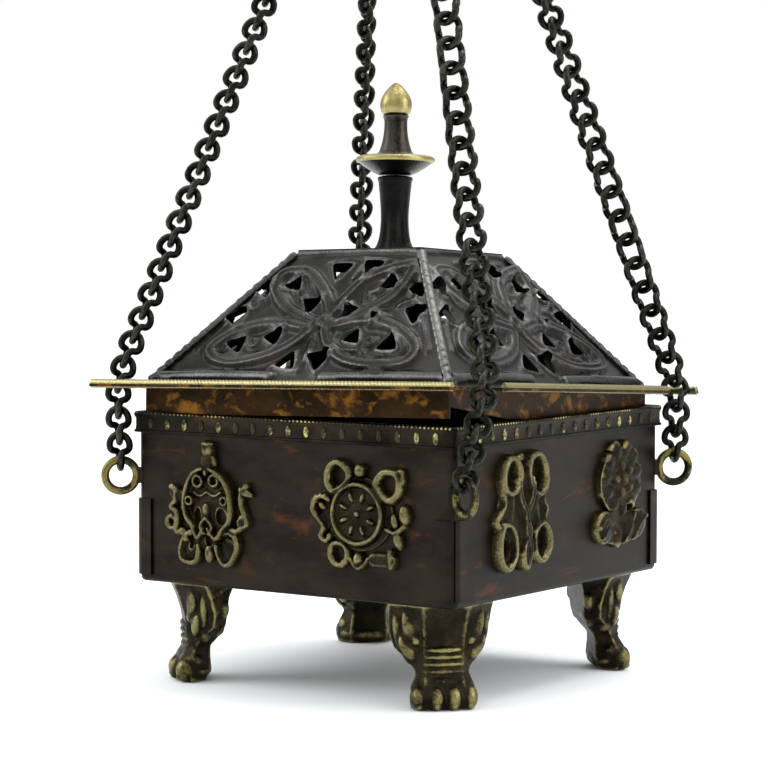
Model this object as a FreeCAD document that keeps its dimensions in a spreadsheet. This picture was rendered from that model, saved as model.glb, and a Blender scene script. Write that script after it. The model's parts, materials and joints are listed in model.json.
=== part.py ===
import FreeCAD, Part
import math
import os

import Sketcher
from FreeCAD import Placement, Rotation, Vector

# A hanging box censer: a square sheet-metal fire box on four cast lion-paw feet, eight cast
# emblems on its walls, a pierced pyramid lid that slides up four curb chains, and one ring that
# gathers the chains. Millimetres, +Z up, soles on z = 0, box centred on the Z axis with its walls
# along X and Y. The front_right corner is +X -Y.

X_AXIS = Vector(1, 0, 0)
Y_AXIS = Vector(0, 1, 0)
Z_AXIS = Vector(0, 0, 1)
ORIGIN = Vector(0, 0, 0)

CORNERS = {"front_left": (-1, -1), "front_right": (1, -1), "back_right": (1, 1), "back_left": (-1, 1)}
SIDES = {"front": 0, "right": 90, "back": 180, "left": 270}

doc = FreeCAD.newDocument("censer")

# ---------------------------------------------------------------- driving sizes
SIZES = {
    # fire box
    "box_side": 120.0, "box_wall": 1.0, "box_depth": 53.8, "box_corner_round": 2.5, "box_base_round": 1.6,
    # rim band and corner seams
    "band_thickness": 1.3, "band_height": 6.6,
    "seam_width": 3.4, "seam_thickness": 0.8, "seam_groove": 0.9, "seam_start": 2.2, "seam_length": 24.0,
    # lion-paw feet: their height and the distance of their outermost face from the axis
    "foot_height": 31.7, "foot_reach": 75.2,
    "rivet_radius": 2.4, "rivet_head_radius": 4.4, "rivet_head_height": 1.4, "rivet_depth": 9.0,
    "rivet_slack": 0.05,
    # emblems
    "emblem_plate": 2.2, "emblem_boss": 1.3, "emblem_left_offset": -30.5, "emblem_right_offset": 27.0,
    "right_wall_left_offset": -24.9, "right_wall_right_offset": 33.1, "emblem_level": 58.3,
    # corner rings, the turn of each about its corner, and their solder lugs
    "ring_radius": 4.95, "ring_wire": 1.3, "ring_level": 65.2, "ring_bed": 0.1, "ring_turn_front_left": 0.0,
    "ring_turn_front_right": 22.0, "ring_turn_back_right": 0.0, "ring_turn_back_left": 0.0,
    "lug_width": 2.6, "lug_height": 5.0, "lug_depth": 3.2, "lug_gap": 0.02,
    # curb chain
    "link_wire": 1.1, "link_half_length": 5.35, "link_half_width": 3.6, "link_twist": 28.0,
    "link_pitch": 8.2, "chain_bend_radius": 24.0, "chain_bend_rise": 2.0, "chain_stand_out": 1.2,
    "gather_level": 319.0,
    "hitch_gap": 0.25, "torn_chain_shift_x": 3.3, "torn_chain_shift_y": 10.2,
    # gather ring and the four end links on it
    "gather_radius": 18.0, "gather_wire": 1.4, "gather_spread": 19.0, "gather_slack": 0.8,
    "end_link_radius": 5.2, "end_link_wire": 1.0,
    # ash pan
    "pan_side": 110.0, "pan_wall": 0.8, "pan_height": 20.0, "pan_rim": 1.6,
    # lid
    "lid_tilt_x": -3.41, "lid_tilt_y": -1.61, "lid_gap": 0.3, "lid_shift_x": -0.7, "lid_shift_y": -0.4,
    "flange_side": 140.4, "flange_thickness": 0.9, "corner_hole_radius": 7.1, "corner_hole_inset": 7.4,
    "front_tear_start": 2.2, "front_tear_end": 24.5, "front_tear_depth": 11.2,
    "back_tear_start": 6.0, "back_tear_end": 19.0, "back_tear_depth": 8.5, "tear_slope": 1.0,
    "edge_strip_width": 1.8, "edge_strip_height": 1.7,
    "skirt_depth": 8.4, "skirt_thickness": 0.8, "skirt_clearance": 1.5, "skirt_gap": 0.2,
    "skirt_trimmed_depth": 5.0, "skirt_trim_length": 30.0,
    "roof_base_side": 114.6, "roof_top_side": 47.0, "roof_height": 42.4, "panel_thickness": 1.4,
    "panel_gap": 0.05, "panel_motif_shift": 3.0, "cap_thickness": 1.0,
    "hip_width": 3.0, "hip_height": 1.3, "hip_end_gap": 0.6,
    # finial
    "finial_tenon_radius": 2.5, "finial_tenon_slack": 0.05, "finial_nut_radius": 5.0,
    "finial_nut_height": 2.0, "finial_shift_x": -1.8, "finial_shift_y": -1.2,
    "stem_height": 24.6, "stem_base_radius": 6.2, "stem_waist_radius": 4.5,
    "disc_radius": 12.7, "disc_height": 6.0, "neck_height": 13.4, "neck_radius": 3.6,
    "bud_radius": 5.1, "bud_height": 10.2,
}

sheet = doc.addObject("Spreadsheet::Sheet", "sizes")
for row, (alias, value) in enumerate(SIZES.items(), 1):
    sheet.set(f"A{row}", alias)
    sheet.set(f"B{row}", str(value))
    sheet.setAlias(f"B{row}", alias)
doc.recompute()


def size(alias):
    return float(getattr(sheet, alias))


# ---------------------------------------------------------------- sizes that follow from the sheet
half_box = size("box_side") / 2
inner_half = half_box - size("box_wall")
floor_under = size("foot_height")
floor_top = floor_under + size("box_wall")
rim_level = floor_under + size("box_depth")
band_half = half_box + size("band_thickness")
flange_half = size("flange_side") / 2
roof_half = size("roof_base_side") / 2
cap_half = size("roof_top_side") / 2

# The lid leans. Its frame's origin is the middle of the flange's underside, which is as high as
# the low corner needs to clear the rim band. It has also slid a little towards one corner.
tilt = Rotation(X_AXIS, size("lid_tilt_x")).multiply(Rotation(Y_AXIS, size("lid_tilt_y")))
lid_drop = max(-tilt.multVec(Vector(x * band_half, y * band_half, 0)).z for x, y in CORNERS.values())
lid_level = rim_level + size("lid_gap") + lid_drop
lid_frame = Placement(Vector(size("lid_shift_x"), size("lid_shift_y"), lid_level), tilt)
flange_top = size("flange_thickness")


# ---------------------------------------------------------------- helpers for bodies and sketches
def new_body(name):
    body = doc.addObject("PartDesign::Body", name)
    body.Label = name
    return body


def new_sketch(body, name, role="XY_Plane", offset=None):
    """A sketch on one of the body's own origin planes, moved along its normal by an expression."""
    sketch = body.newObject("Sketcher::SketchObject", name)
    plane = [feature for feature in body.Origin.OriginFeatures if feature.Role == role]
    sketch.AttachmentSupport = (plane[0], [""])
    sketch.MapMode = "FlatFace"
    if offset:
        sketch.setExpression("AttachmentOffset.Base.z", offset)
    return sketch


def bind(sketch, kind, refs, expression, start=1.0):
    index = sketch.addConstraint(Sketcher.Constraint(kind, *refs, start))
    sketch.setExpression(f"Constraints[{index}]", expression)


def add_rectangle(sketch, half_x, half_y):
    """A rectangle centred on the sketch's origin, drawn at a draft size and then driven by the
    expressions half_x and half_y."""
    draft = 9.0
    corner = [Vector(-draft, -draft, 0), Vector(draft, -draft, 0), Vector(draft, draft, 0),
              Vector(-draft, draft, 0)]
    first = sketch.GeometryCount
    for index in range(4):
        sketch.addGeometry(Part.LineSegment(corner[index], corner[(index + 1) % 4]), False)
    for index in range(4):
        sketch.addConstraint(Sketcher.Constraint("Coincident", first + index, 2, first + (index + 1) % 4, 1))
    for index, kind in enumerate(("Horizontal", "Vertical", "Horizontal", "Vertical")):
        sketch.addConstraint(Sketcher.Constraint(kind, first + index))
    sketch.addConstraint(Sketcher.Constraint("Symmetric", first, 1, first + 2, 1, -1, 1))
    bind(sketch, "DistanceX", (first, 1, first, 2), f"2 * ({half_x})", 2 * draft)
    bind(sketch, "DistanceY", (first + 1, 1, first + 1, 2), f"2 * ({half_y})", 2 * draft)


def add_circle(sketch, x, y, radius, radius_expression):
    index = sketch.addGeometry(Part.Circle(Vector(x, y, 0), Z_AXIS, radius), False)
    bind(sketch, "Radius", (index,), radius_expression, radius)
    return index


def add_loop(sketch, corner_points, bulge=0.0):
    """A closed outline through the points; each side bows outwards by bulge times its length."""
    count = len(corner_points)
    centre = sum(corner_points, Vector(0, 0, 0)) * (1 / count)
    for index, start in enumerate(corner_points):
        end = corner_points[(index + 1) % count]
        side = end - start
        outward = Vector(side.y, -side.x, 0)
        if outward.dot((start + end) * 0.5 - centre) < 0:
            outward = outward * -1
        if bulge:
            middle = (start + end) * 0.5 + outward * bulge
            sketch.addGeometry(Part.Arc(start, middle, end), False)
        else:
            sketch.addGeometry(Part.LineSegment(start, end), False)


def add_ellipse(sketch, x, y, half_x, half_y):
    if abs(half_x - half_y) < 1e-6:
        sketch.addGeometry(Part.Circle(Vector(x, y, 0), Z_AXIS, half_x), False)
        return
    centre = Vector(x, y, 0)
    across = centre + Vector(half_x, 0, 0)
    along = centre + Vector(0, half_y, 0)
    ends = (across, along) if half_x > half_y else (along, across)
    sketch.addGeometry(Part.Ellipse(ends[0], ends[1], centre), False)


def pad(body, sketch, length, reverse=False):
    feature = body.newObject("PartDesign::Pad", sketch.Name + "_pad")
    feature.Profile = sketch
    feature.setExpression("Length", length)
    feature.Reversed = reverse
    doc.recompute()
    return feature


def pocket(body, sketch, length=None):
    """Cuts the sketch into the body, through everything if no length is given."""
    before = body.Shape.Volume
    feature = body.newObject("PartDesign::Pocket", sketch.Name + "_cut")
    feature.Profile = sketch
    if length:
        feature.setExpression("Length", length)
    else:
        feature.Type = "ThroughAll"
        feature.Midplane = True
    doc.recompute()
    if feature.Shape.Volume > before - 0.01:
        raise RuntimeError(f"{feature.Name} cut nothing")
    return feature


def revolve(body, sketch):
    feature = body.newObject("PartDesign::Revolution", sketch.Name + "_turned")
    feature.Profile = sketch
    feature.ReferenceAxis = (sketch, ["V_Axis"])
    feature.Angle = 360
    doc.recompute()


def round_edges(body, base, chosen, radius, name):
    feature = body.newObject("PartDesign::Fillet", name)
    feature.Base = (base, chosen)
    feature.setExpression("Radius", radius)
    doc.recompute()
    return feature


def edges_where(feature, test):
    return [f"Edge{index}" for index, edge in enumerate(feature.Shape.Edges, 1) if test(edge)]


def is_upright(edge):
    direction = edge.valueAt(edge.LastParameter) - edge.valueAt(edge.FirstParameter)
    return math.hypot(direction.x, direction.y) < 1e-6 < abs(direction.z)


def upright_edges_at(feature, half_side):
    """The upright edges of a square opening whose walls are half_side from the axis."""
    return edges_where(feature, lambda edge: is_upright(edge)
                       and abs(abs(edge.CenterOfMass.x) - half_side) < 1e-3)


# ---------------------------------------------------------------- fire box
def make_box_shell():
    body = new_body("box_shell")
    outline = new_sketch(body, "box_outline", offset="sizes.foot_height")
    add_rectangle(outline, "sizes.box_side / 2", "sizes.box_side / 2")
    block = pad(body, outline, "sizes.box_depth")
    upright = edges_where(block, is_upright)
    block = round_edges(body, block, upright, "sizes.box_corner_round", "box_corner_rounds")
    base = edges_where(block, lambda edge: edge.BoundBox.ZMax < floor_under + 1e-3)
    round_edges(body, block, base, "sizes.box_base_round", "box_base_rounds")
    hollow = new_sketch(body, "box_hollow", offset="sizes.foot_height + sizes.box_depth")
    add_rectangle(hollow, "sizes.box_side / 2 - sizes.box_wall", "sizes.box_side / 2 - sizes.box_wall")
    cavity = pocket(body, hollow, "sizes.box_depth - sizes.box_wall")
    inside = upright_edges_at(cavity, inner_half)
    round_edges(body, cavity, inside, "sizes.box_corner_round - sizes.box_wall", "box_inside_rounds")
    rivet_hole = new_sketch(body, "rivet_hole", offset="sizes.foot_height")
    spot = foot_axis_radius() / math.sqrt(2)
    circle = add_circle(rivet_hole, spot, spot, 1, "sizes.rivet_radius + sizes.rivet_slack")
    for kind in ("DistanceX", "DistanceY"):
        rivet_hole.addConstraint(Sketcher.Constraint(kind, -1, 1, circle, 3, spot))
    hole = pocket(body, rivet_hole)
    ring_of_holes = body.newObject("PartDesign::PolarPattern", "rivet_holes")
    ring_of_holes.Originals = [hole]
    ring_of_holes.Axis = (rivet_hole, ["N_Axis"])
    ring_of_holes.Angle = 360
    ring_of_holes.Occurrences = len(CORNERS)
    body.Tip = ring_of_holes
    doc.recompute()


def make_rim_band():
    body = new_body("rim_band")
    start = "sizes.foot_height + sizes.box_depth - sizes.band_height"
    outline = new_sketch(body, "band_outline", offset=start)
    half = "sizes.box_side / 2 + sizes.band_thickness"
    add_rectangle(outline, half, half)
    block = pad(body, outline, "sizes.band_height")
    rounded = round_edges(body, block, edges_where(block, is_upright),
                          "sizes.box_corner_round + sizes.band_thickness", "band_corner_rounds")
    opening = new_sketch(body, "band_opening", offset="sizes.foot_height + sizes.box_depth")
    add_rectangle(opening, "sizes.box_side / 2", "sizes.box_side / 2")
    cut = pocket(body, opening)
    round_edges(body, cut, upright_edges_at(cut, half_box), "sizes.box_corner_round", "band_inside_rounds")


def make_corner_seam(name):
    """Two folded lips along a box corner, with a narrow groove between them on the corner's edge."""
    body = new_body(name)
    profile = new_sketch(body, name + "_profile", offset="sizes.foot_height + sizes.seam_start")
    inner = size("box_corner_round")
    outer = inner + size("seam_thickness")
    centre = Vector(half_box - inner, half_box - inner, 0)
    reach = size("seam_width")
    half_groove = size("seam_groove") / 2 / inner
    for mirrored in (False, True):
        start_angle, end_angle = 0.0, math.pi / 4 - half_groove

        def at(radius, angle):
            turned = math.pi / 2 - angle if mirrored else angle
            return centre + Vector(math.cos(turned), math.sin(turned), 0) * radius

        def down(point):
            return point - (X_AXIS if mirrored else Y_AXIS) * reach

        middle = (start_angle + end_angle) / 2
        inside = [down(at(inner, 0)), at(inner, 0), at(inner, end_angle)]
        outside = [at(outer, end_angle), at(outer, 0), down(at(outer, 0))]
        profile.addGeometry(Part.LineSegment(inside[0], inside[1]), False)
        profile.addGeometry(Part.Arc(inside[1], at(inner, middle), inside[2]), False)
        profile.addGeometry(Part.LineSegment(inside[2], outside[0]), False)
        profile.addGeometry(Part.Arc(outside[0], at(outer, middle), outside[1]), False)
        profile.addGeometry(Part.LineSegment(outside[1], outside[2]), False)
        profile.addGeometry(Part.LineSegment(outside[2], inside[0]), False)
    pad(body, profile, "sizes.seam_length")
    return body


# ---------------------------------------------------------------- lion-paw feet
# Each section of the casting: its level as a share of the foot's height, how far its outer and
# inner faces stand in from the foot's reach, and its width at the outer face, at its widest and
# at the inner face. The shoulders run back at 45 degrees, along the box's walls.
FOOT_SECTIONS = (
    (0.00, 2.8, 11.0, 13.0, 20.5, 12.0),
    (0.13, 0.9, 12.9, 14.0, 21.8, 13.0),
    (0.26, 2.4, 12.6, 12.0, 19.6, 12.0),
    (0.36, 4.4, 12.7, 11.0, 16.8, 11.0),
    (0.47, 4.3, 16.2, 11.5, 23.0, 15.0),
    (0.60, 4.3, 18.0, 12.0, 29.0, 20.0),
    (0.84, 2.3, 18.6, 13.0, 33.0, 24.0),
    (1.00, 0.0, 19.6, 14.0, 34.0, 25.0),
)


def foot_axis_radius():
    """Distance of the foot's rivet from the censer's axis, under the middle of the cast panel."""
    outer, inner = FOOT_SECTIONS[-1][1:3]
    return size("foot_reach") - (outer + inner) / 2


def make_foot(name):
    """A cast foot that faces along +X; its own Z axis runs through the middle of its top."""
    body = new_body(name)
    middle = size("foot_reach") - foot_axis_radius()
    sections = []
    for number, (level, outer, inner, *widths) in enumerate(FOOT_SECTIONS):
        section = new_sketch(body, f"{name}_section_{number}", offset=f"sizes.foot_height * {level}")
        front, widest, back = (width / 2 for width in widths)
        shoulder = outer + widest - front
        right = [Vector(middle - outer, front, 0), Vector(middle - shoulder, widest, 0),
                 Vector(middle - inner, back, 0)]
        left = [Vector(point.x, -point.y, 0) for point in reversed(right)]
        add_loop(section, right + left)
        sections.append(section)
    loft = body.newObject("PartDesign::AdditiveLoft", name + "_casting")
    loft.Profile = sections[0]
    loft.Sections = sections[1:]
    loft.Ruled = True
    doc.recompute()
    bore = new_sketch(body, name + "_bore", offset="sizes.foot_height")
    add_circle(bore, 0, 0, 1, "sizes.rivet_radius + sizes.rivet_slack")
    pocket(body, bore, "sizes.rivet_depth")
    return body


def make_foot_rivets():
    """Four rivets through the floor into the feet, with domed heads inside the box."""
    shank = size("rivet_radius")
    head = size("rivet_head_radius")
    dome = size("rivet_head_height")
    ball = (head ** 2 + dome ** 2) / (2 * dome)
    waist = Vector(head / 2, 0, floor_top + dome - ball + math.sqrt(ball ** 2 - (head / 2) ** 2))
    start = floor_under - size("rivet_depth") + size("rivet_slack")
    profile = Part.makePolygon([Vector(0, 0, start), Vector(shank, 0, start), Vector(shank, 0, floor_top),
                                Vector(head, 0, floor_top)])
    crown = Part.Arc(Vector(head, 0, floor_top), waist, Vector(0, 0, floor_top + dome)).toShape()
    axis_line = Part.makeLine(Vector(0, 0, floor_top + dome), Vector(0, 0, start))
    face = Part.Face(Part.Wire(profile.Edges + [crown, axis_line]))
    rivet = face.revolve(ORIGIN, Z_AXIS, 360)
    rivets = []
    for x, y in CORNERS.values():
        copy = rivet.copy()
        copy.translate(Vector(x, y, 0) * (foot_axis_radius() / math.sqrt(2)))
        rivets.append(copy)
    feature = doc.addObject("Part::Feature", "foot_rivets")
    feature.Shape = Part.makeCompound(rivets)


# ---------------------------------------------------------------- emblems
# Right half of each outline from its top to its foot (the left half mirrors it), the raised
# bosses and the pierced holes. A boss or hole is x, y, half width, half height, and one away
# from the middle line is mirrored too.
EMBLEMS = {
    "vase": {
        "outline": [(0, 19.5), (3.4, 15.5), (3.2, 12), (9, 10), (9.5, 4), (15.4, 2), (15.6, -5), (10.5, -8),
                    (9.5, -14), (4, -17), (0, -19)],
        "bosses": [(0, -7, 5.2, 6.5), (0, 14, 1.9, 2.9), (6.2, 5.6, 2.2, 2.2)],
        "holes": [(3.0, 3.8, 0.9, 1.7), (12.4, -1.6, 1.1, 1.9)]},
    "wheel": {
        "outline": [(0, 17), (3.6, 12.6), (13, 16.2), (14.2, 8), (19.2, 3.4), (14.6, -2), (18.4, -9),
                    (13.4, -10.4), (12.6, -16), (4.4, -13.2), (0, -17)],
        "bosses": [(0, 0, 9.6, 9.6), (0, 13.4, 1.6, 2.0), (15.6, 1.6, 1.3, 2.4)],
        "holes": [(10.2, 11.2, 1.7, 2.4), (9.8, -12.4, 1.8, 2.2)]},
    "fish": {
        "outline": [(0, 14), (3.6, 17.8), (10, 16.4), (10.6, 9), (15.6, 5), (12.6, -1.4), (16.8, -6),
                    (14.6, -15), (8, -17.4), (4, -12.5), (0, -18)],
        "bosses": [(2.6, 0, 1.7, 11.5), (12, -5.4, 1.4, 1.8)],
        "holes": [(7, 11.6, 1.6, 3.2), (10, -11.2, 1.9, 3.4)]},
    "lotus": {
        "outline": [(0, 17.4), (6.4, 16.2), (12.2, 10.6), (13.2, 2), (16.8, -4.4), (15.6, -11.6), (9, -14.4),
                    (0, -17.4)],
        "bosses": [(0, 5.6, 3.4, 3.4), (7.6, 5.6, 2.6, 1.9), (0, 13.2, 1.9, 2.6), (9, -9, 4.6, 2.2)],
        "holes": [(4.4, -3.2, 1.0, 1.2)]},
    "parasol": {
        "outline": [(0, 18), (6, 15), (14, 8.6), (16.6, 1), (10, -1.6), (8, -8), (4.6, -14.6), (0, -18)],
        "bosses": [(0, 6, 11.5, 4.2), (0, 14, 1.8, 1.8), (0, -9, 1.6, 5.4)],
        "holes": [(5.4, -4.4, 1.2, 1.8)]},
    "conch": {
        "outline": [(0, 18), (7.6, 15.6), (13.4, 8), (15.2, -1), (11.4, -9.4), (5.6, -13), (0, -18)],
        "bosses": [(0, 1.6, 7.2, 9.4)],
        "holes": [(10.6, 1.6, 1.3, 3.0), (4.4, -11, 1.0, 1.3)]},
    "knot": {
        "outline": [(0, 18), (5.4, 12.6), (10.8, 7.2), (16.4, 0), (10.8, -7.2), (5.4, -12.6), (0, -18)],
        "bosses": [(0, 0, 1.6, 1.6), (6.4, 0, 1.4, 1.4), (0, 8.6, 1.4, 1.4), (0, -8.6, 1.4, 1.4)],
        "holes": [(3.4, 4.2, 1.1, 1.3), (3.4, -4.2, 1.1, 1.3), (10.4, 0, 1.2, 1.5)]},
    "banner": {
        "outline": [(0, 18), (5, 14.4), (11.4, 10), (10, 2), (11.6, -6), (9.4, -13), (0, -18)],
        "bosses": [(0, 7, 6.8, 1.7), (0, 1, 6.4, 1.7), (0, -5, 6.2, 1.7), (0, 13.4, 1.7, 2.0)],
        "holes": [(4, -12, 1.1, 1.7)]},
}
EMBLEM_PLACES = {"front": ("vase", "wheel"), "right": ("fish", "lotus"), "back": ("parasol", "conch"),
                 "left": ("knot", "banner")}
LOBE_BULGE = 0.24


def add_mirrored_ellipses(sketch, ellipses):
    for x, y, half_x, half_y in ellipses:
        for side in ((1, -1) if x else (1,)):
            add_ellipse(sketch, side * x, y, half_x, half_y)


def make_emblem(kind):
    """A cast plate that stands on the XZ plane and faces -Y, before it is set on its wall."""
    body = new_body(f"emblem_{kind}")
    parts = EMBLEMS[kind]
    right = [Vector(x, y, 0) for x, y in parts["outline"]]
    left = [Vector(-point.x, point.y, 0) for point in reversed(right[1:-1])]
    outline = new_sketch(body, kind + "_outline", "XZ_Plane")
    add_loop(outline, right + left, LOBE_BULGE)
    pad(body, outline, "sizes.emblem_plate")
    bosses = new_sketch(body, kind + "_bosses", "XZ_Plane", "sizes.emblem_plate")
    add_mirrored_ellipses(bosses, parts["bosses"])
    pad(body, bosses, "sizes.emblem_boss")
    holes = new_sketch(body, kind + "_holes", "XZ_Plane")
    add_mirrored_ellipses(holes, parts["holes"])
    pocket(body, holes)
    return body


# ---------------------------------------------------------------- corner rings
def make_corner_ring(name):
    """A wire ring that stands in the upright plane through the box's corner, soldered by its side."""
    ring = doc.addObject("Part::Torus", name)
    ring.Label = name
    ring.setExpression("Radius1", "sizes.ring_radius")
    ring.setExpression("Radius2", "sizes.ring_wire")
    return ring


def corner_reach():
    """From the axis to the outside of the box's rounded corner."""
    return half_box * math.sqrt(2) - size("box_corner_round") * (math.sqrt(2) - 1)


def ring_place(name, x, y):
    """Centre of a corner ring, whose side touches the rounded corner, and the way its plane points."""
    outward = Vector(x, y, 0).normalize()
    turned = Rotation(Z_AXIS, size(f"ring_turn_{name}")).multVec(outward)
    reach = size("ring_radius") + size("ring_wire") + size("ring_bed")
    return outward * corner_reach() + turned * reach + Z_AXIS * size("ring_level"), turned


def make_ring_lugs(rings):
    """Solder lugs that fill the wedge between each ring's side and the box's corner."""
    shell = doc.getObject("box_shell").Shape
    width, depth, height = size("lug_width"), size("lug_depth"), size("lug_height")
    lugs = []
    for ring, (x, y) in zip(rings, CORNERS.values()):
        block = Part.makeBox(depth, width, height, Vector(-depth / 2, -width / 2, -height / 2))
        spot = Vector(x, y, 0).normalize() * corner_reach() + Z_AXIS * size("ring_level")
        block.Placement = Placement(spot, corner_turn(x, y))
        outside = max(block.cut(shell).Solids, key=lambda solid: solid.CenterOfMass.dot(spot))
        cutter = Part.makeTorus(size("ring_radius"), size("ring_wire") + size("lug_gap"))
        cutter.Placement = ring.Placement
        lugs.append(max(outside.cut(cutter).Solids, key=lambda solid: solid.Volume))
    feature = doc.addObject("Part::Feature", "ring_lugs")
    feature.Shape = Part.makeCompound(lugs)


# ---------------------------------------------------------------- curb chains
def link_wire_path():
    """Centre line of one link along Z: two half circles turned opposite ways, joined by S curves."""
    twist = math.radians(size("link_twist"))
    radius = size("link_half_width")
    shoulder = size("link_half_length") - radius
    path = []
    ends = {}
    for end in (1, -1):
        across = Vector(math.cos(twist), end * math.sin(twist), 0) * radius
        level = Z_AXIS * (end * shoulder)
        ends[end] = (level + across, level - across)
        crown = Z_AXIS * (end * size("link_half_length"))
        path.append(Part.Arc(level + across, crown, level - across).toShape())
    for side in (0, 1):
        top, bottom = ends[1][side], ends[-1][side]
        middle = (top + bottom) * 0.5
        rise, shift = abs(top.z - middle.z), middle.y - top.y
        bend = (rise ** 2 + shift ** 2) / (2 * shift)
        angle = math.atan2(rise, abs(bend) - abs(shift)) / 2
        for start, pull in ((top, 1), (bottom, -1)):
            centre = start + Y_AXIS * (bend * pull)
            reach = Vector(0, -bend * pull * math.cos(angle), -pull * abs(bend) * math.sin(angle))
            path.append(Part.Arc(start, centre + reach, middle).toShape())
    return path


def tube_along(path, radius):
    """A round wire along circular arcs: each arc's piece is turned about the arc's own axis."""
    pieces = []
    for arc in path:
        start = arc.valueAt(arc.FirstParameter)
        disc = Part.Face(Part.Wire([Part.makeCircle(radius, start, arc.tangentAt(arc.FirstParameter))]))
        sweep = math.degrees(arc.LastParameter - arc.FirstParameter)
        pieces.append(disc.revolve(arc.Curve.Center, arc.Curve.Axis, sweep))
    return pieces[0].fuse(pieces[1:]).Solids[0]


def frame_along(axis, side):
    """The rotation whose Z is axis and whose X is as near to side as it can be."""
    depth = axis.cross(side).normalize()
    return Rotation(depth.cross(axis), depth, axis, "ZXY")


def chain_bend(name, x, y):
    """Where a chain passes the flange and turns inwards. At the torn front corner it has slipped
    out of its hole towards +X +Y."""
    reach = corner_reach() + size("ring_radius") + size("ring_wire") + size("chain_stand_out")
    spot = Vector(x, y, 0).normalize() * reach
    if name == "front_right":
        spot += Vector(size("torn_chain_shift_x"), size("torn_chain_shift_y"), 0)
    hole = Vector(x, y, 0) * (flange_half - size("corner_hole_inset"))
    return spot + Z_AXIS * (lid_frame.multVec(hole).z + size("chain_bend_rise"))


def chain_route(name, x, y, top):
    """Centre line of a chain: up from inside its ring, a bend at the flange, then straight to top."""
    centre, turned = ring_place(name, x, y)
    bend = chain_bend(name, x, y)
    square = turned.cross(Z_AXIS)
    pull = (bend - centre) - square * (bend - centre).dot(square)
    wire = centre + pull.normalize() * size("ring_radius")
    rising = (bend - wire).normalize()
    start = wire - rising * (size("ring_wire") + size("link_wire") + size("hitch_gap"))
    leaning = (top - bend).normalize()
    turn = leaning.getAngle(rising)
    radius = size("chain_bend_radius")
    cut = radius * math.tan(turn / 2)
    lower_end, upper_start = bend - rising * cut, bend + leaning * cut
    crown = bend + (leaning - rising).normalize() * (radius / math.cos(turn / 2) - radius)
    return [Part.LineSegment(start, lower_end).toShape(), Part.Arc(lower_end, crown, upper_start).toShape(),
            Part.LineSegment(upper_start, top).toShape()]


def point_on(route, distance):
    for edge in route:
        if distance <= edge.Length or edge is route[-1]:
            start = edge.FirstParameter
            parameter = start + (edge.LastParameter - start) * distance / edge.Length
            return edge.valueAt(parameter)
        distance -= edge.Length


def gather_spot(slot):
    """Where one end link hangs on the gather ring's lowest stretch; slot counts from the left."""
    angle = math.radians((slot - 1.5) * size("gather_spread"))
    radius = size("gather_radius")
    centre = Vector(0, 0, size("gather_level") + radius)
    spot = centre + Vector(math.sin(angle), 0, -math.cos(angle)) * radius
    tangent = Vector(math.cos(angle), 0, math.sin(angle))
    return spot, tangent


# Each chain's place on the gather ring, counted from the left.
CHAIN_SLOTS = {"back_left": 0, "front_left": 1, "front_right": 2, "back_right": 3}


def make_end_link(name, x, y):
    """A round link that hangs on the gather ring and holds the chain's last link."""
    spot, tangent = gather_spot(CHAIN_SLOTS[name])
    pull = (chain_bend(name, x, y) - spot).normalize()
    radius = size("end_link_radius")
    # The slack lets the gather ring swing without its wire pressing on the outer links.
    drop = radius - size("end_link_wire") - size("gather_wire") - size("gather_slack")
    along = (pull - tangent * pull.dot(tangent)).normalize()
    centre = spot + along * drop
    normal = along.cross(tangent.cross(along)).normalize()
    link = doc.addObject("Part::Torus", f"end_link_{name}")
    link.Label = link.Name
    link.setExpression("Radius1", "sizes.end_link_radius")
    link.setExpression("Radius2", "sizes.end_link_wire")
    link.Placement = Placement(centre, Rotation(Z_AXIS, normal))
    hold = centre + along * (radius - size("end_link_wire") - size("link_wire") - size("hitch_gap"))
    return hold, normal


def make_chain(name, x, y):
    """Curb links at an even pitch from the corner ring to the end link, turning evenly on the way."""
    hold, end_normal = make_end_link(name, x, y)
    route = chain_route(name, x, y, hold)
    length = sum(edge.Length for edge in route)
    over = 2 * size("link_half_length")
    count = round((length - over) / size("link_pitch")) + 1
    pitch = (length - over) / (count - 1)
    link = tube_along(link_wire_path(), size("link_wire"))
    twist = size("link_twist")
    # A link's lower end is turned back by the twist and its upper end on by it. Each end lies
    # square to what it hangs on: the ring's upright plane below and the end link above.
    across_ring = Z_AXIS.cross(ring_place(name, x, y)[1])
    first_side = Rotation(Z_AXIS, twist).multVec(across_ring)
    last_axis = (point_on(route, length) - point_on(route, length - over)).normalize()
    last_side = Rotation(last_axis, -twist).multVec(end_normal)
    carried = Rotation(Z_AXIS, last_axis).multVec(first_side)
    swing = math.degrees(math.atan2(last_axis.dot(carried.cross(last_side)), carried.dot(last_side)))
    links = []
    for index in range(count):
        start = point_on(route, index * pitch)
        end = point_on(route, index * pitch + over)
        axis = (end - start).normalize()
        side = Rotation(Z_AXIS, axis).multVec(first_side)
        side = Rotation(axis, swing * index / (count - 1)).multVec(side)
        copy = link.copy()
        copy.Placement = Placement((start + end) * 0.5, frame_along(axis, side))
        links.append(copy)
    feature = doc.addObject("Part::Feature", f"chain_{name}")
    feature.Shape = Part.makeCompound(links)


def make_gather_ring():
    ring = doc.addObject("Part::Torus", "gather_ring")
    ring.Label = ring.Name
    ring.setExpression("Radius1", "sizes.gather_radius")
    ring.setExpression("Radius2", "sizes.gather_wire")
    centre = Vector(0, 0, size("gather_level") + size("gather_radius"))
    ring.Placement = Placement(centre, Rotation(X_AXIS, 90))


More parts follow.
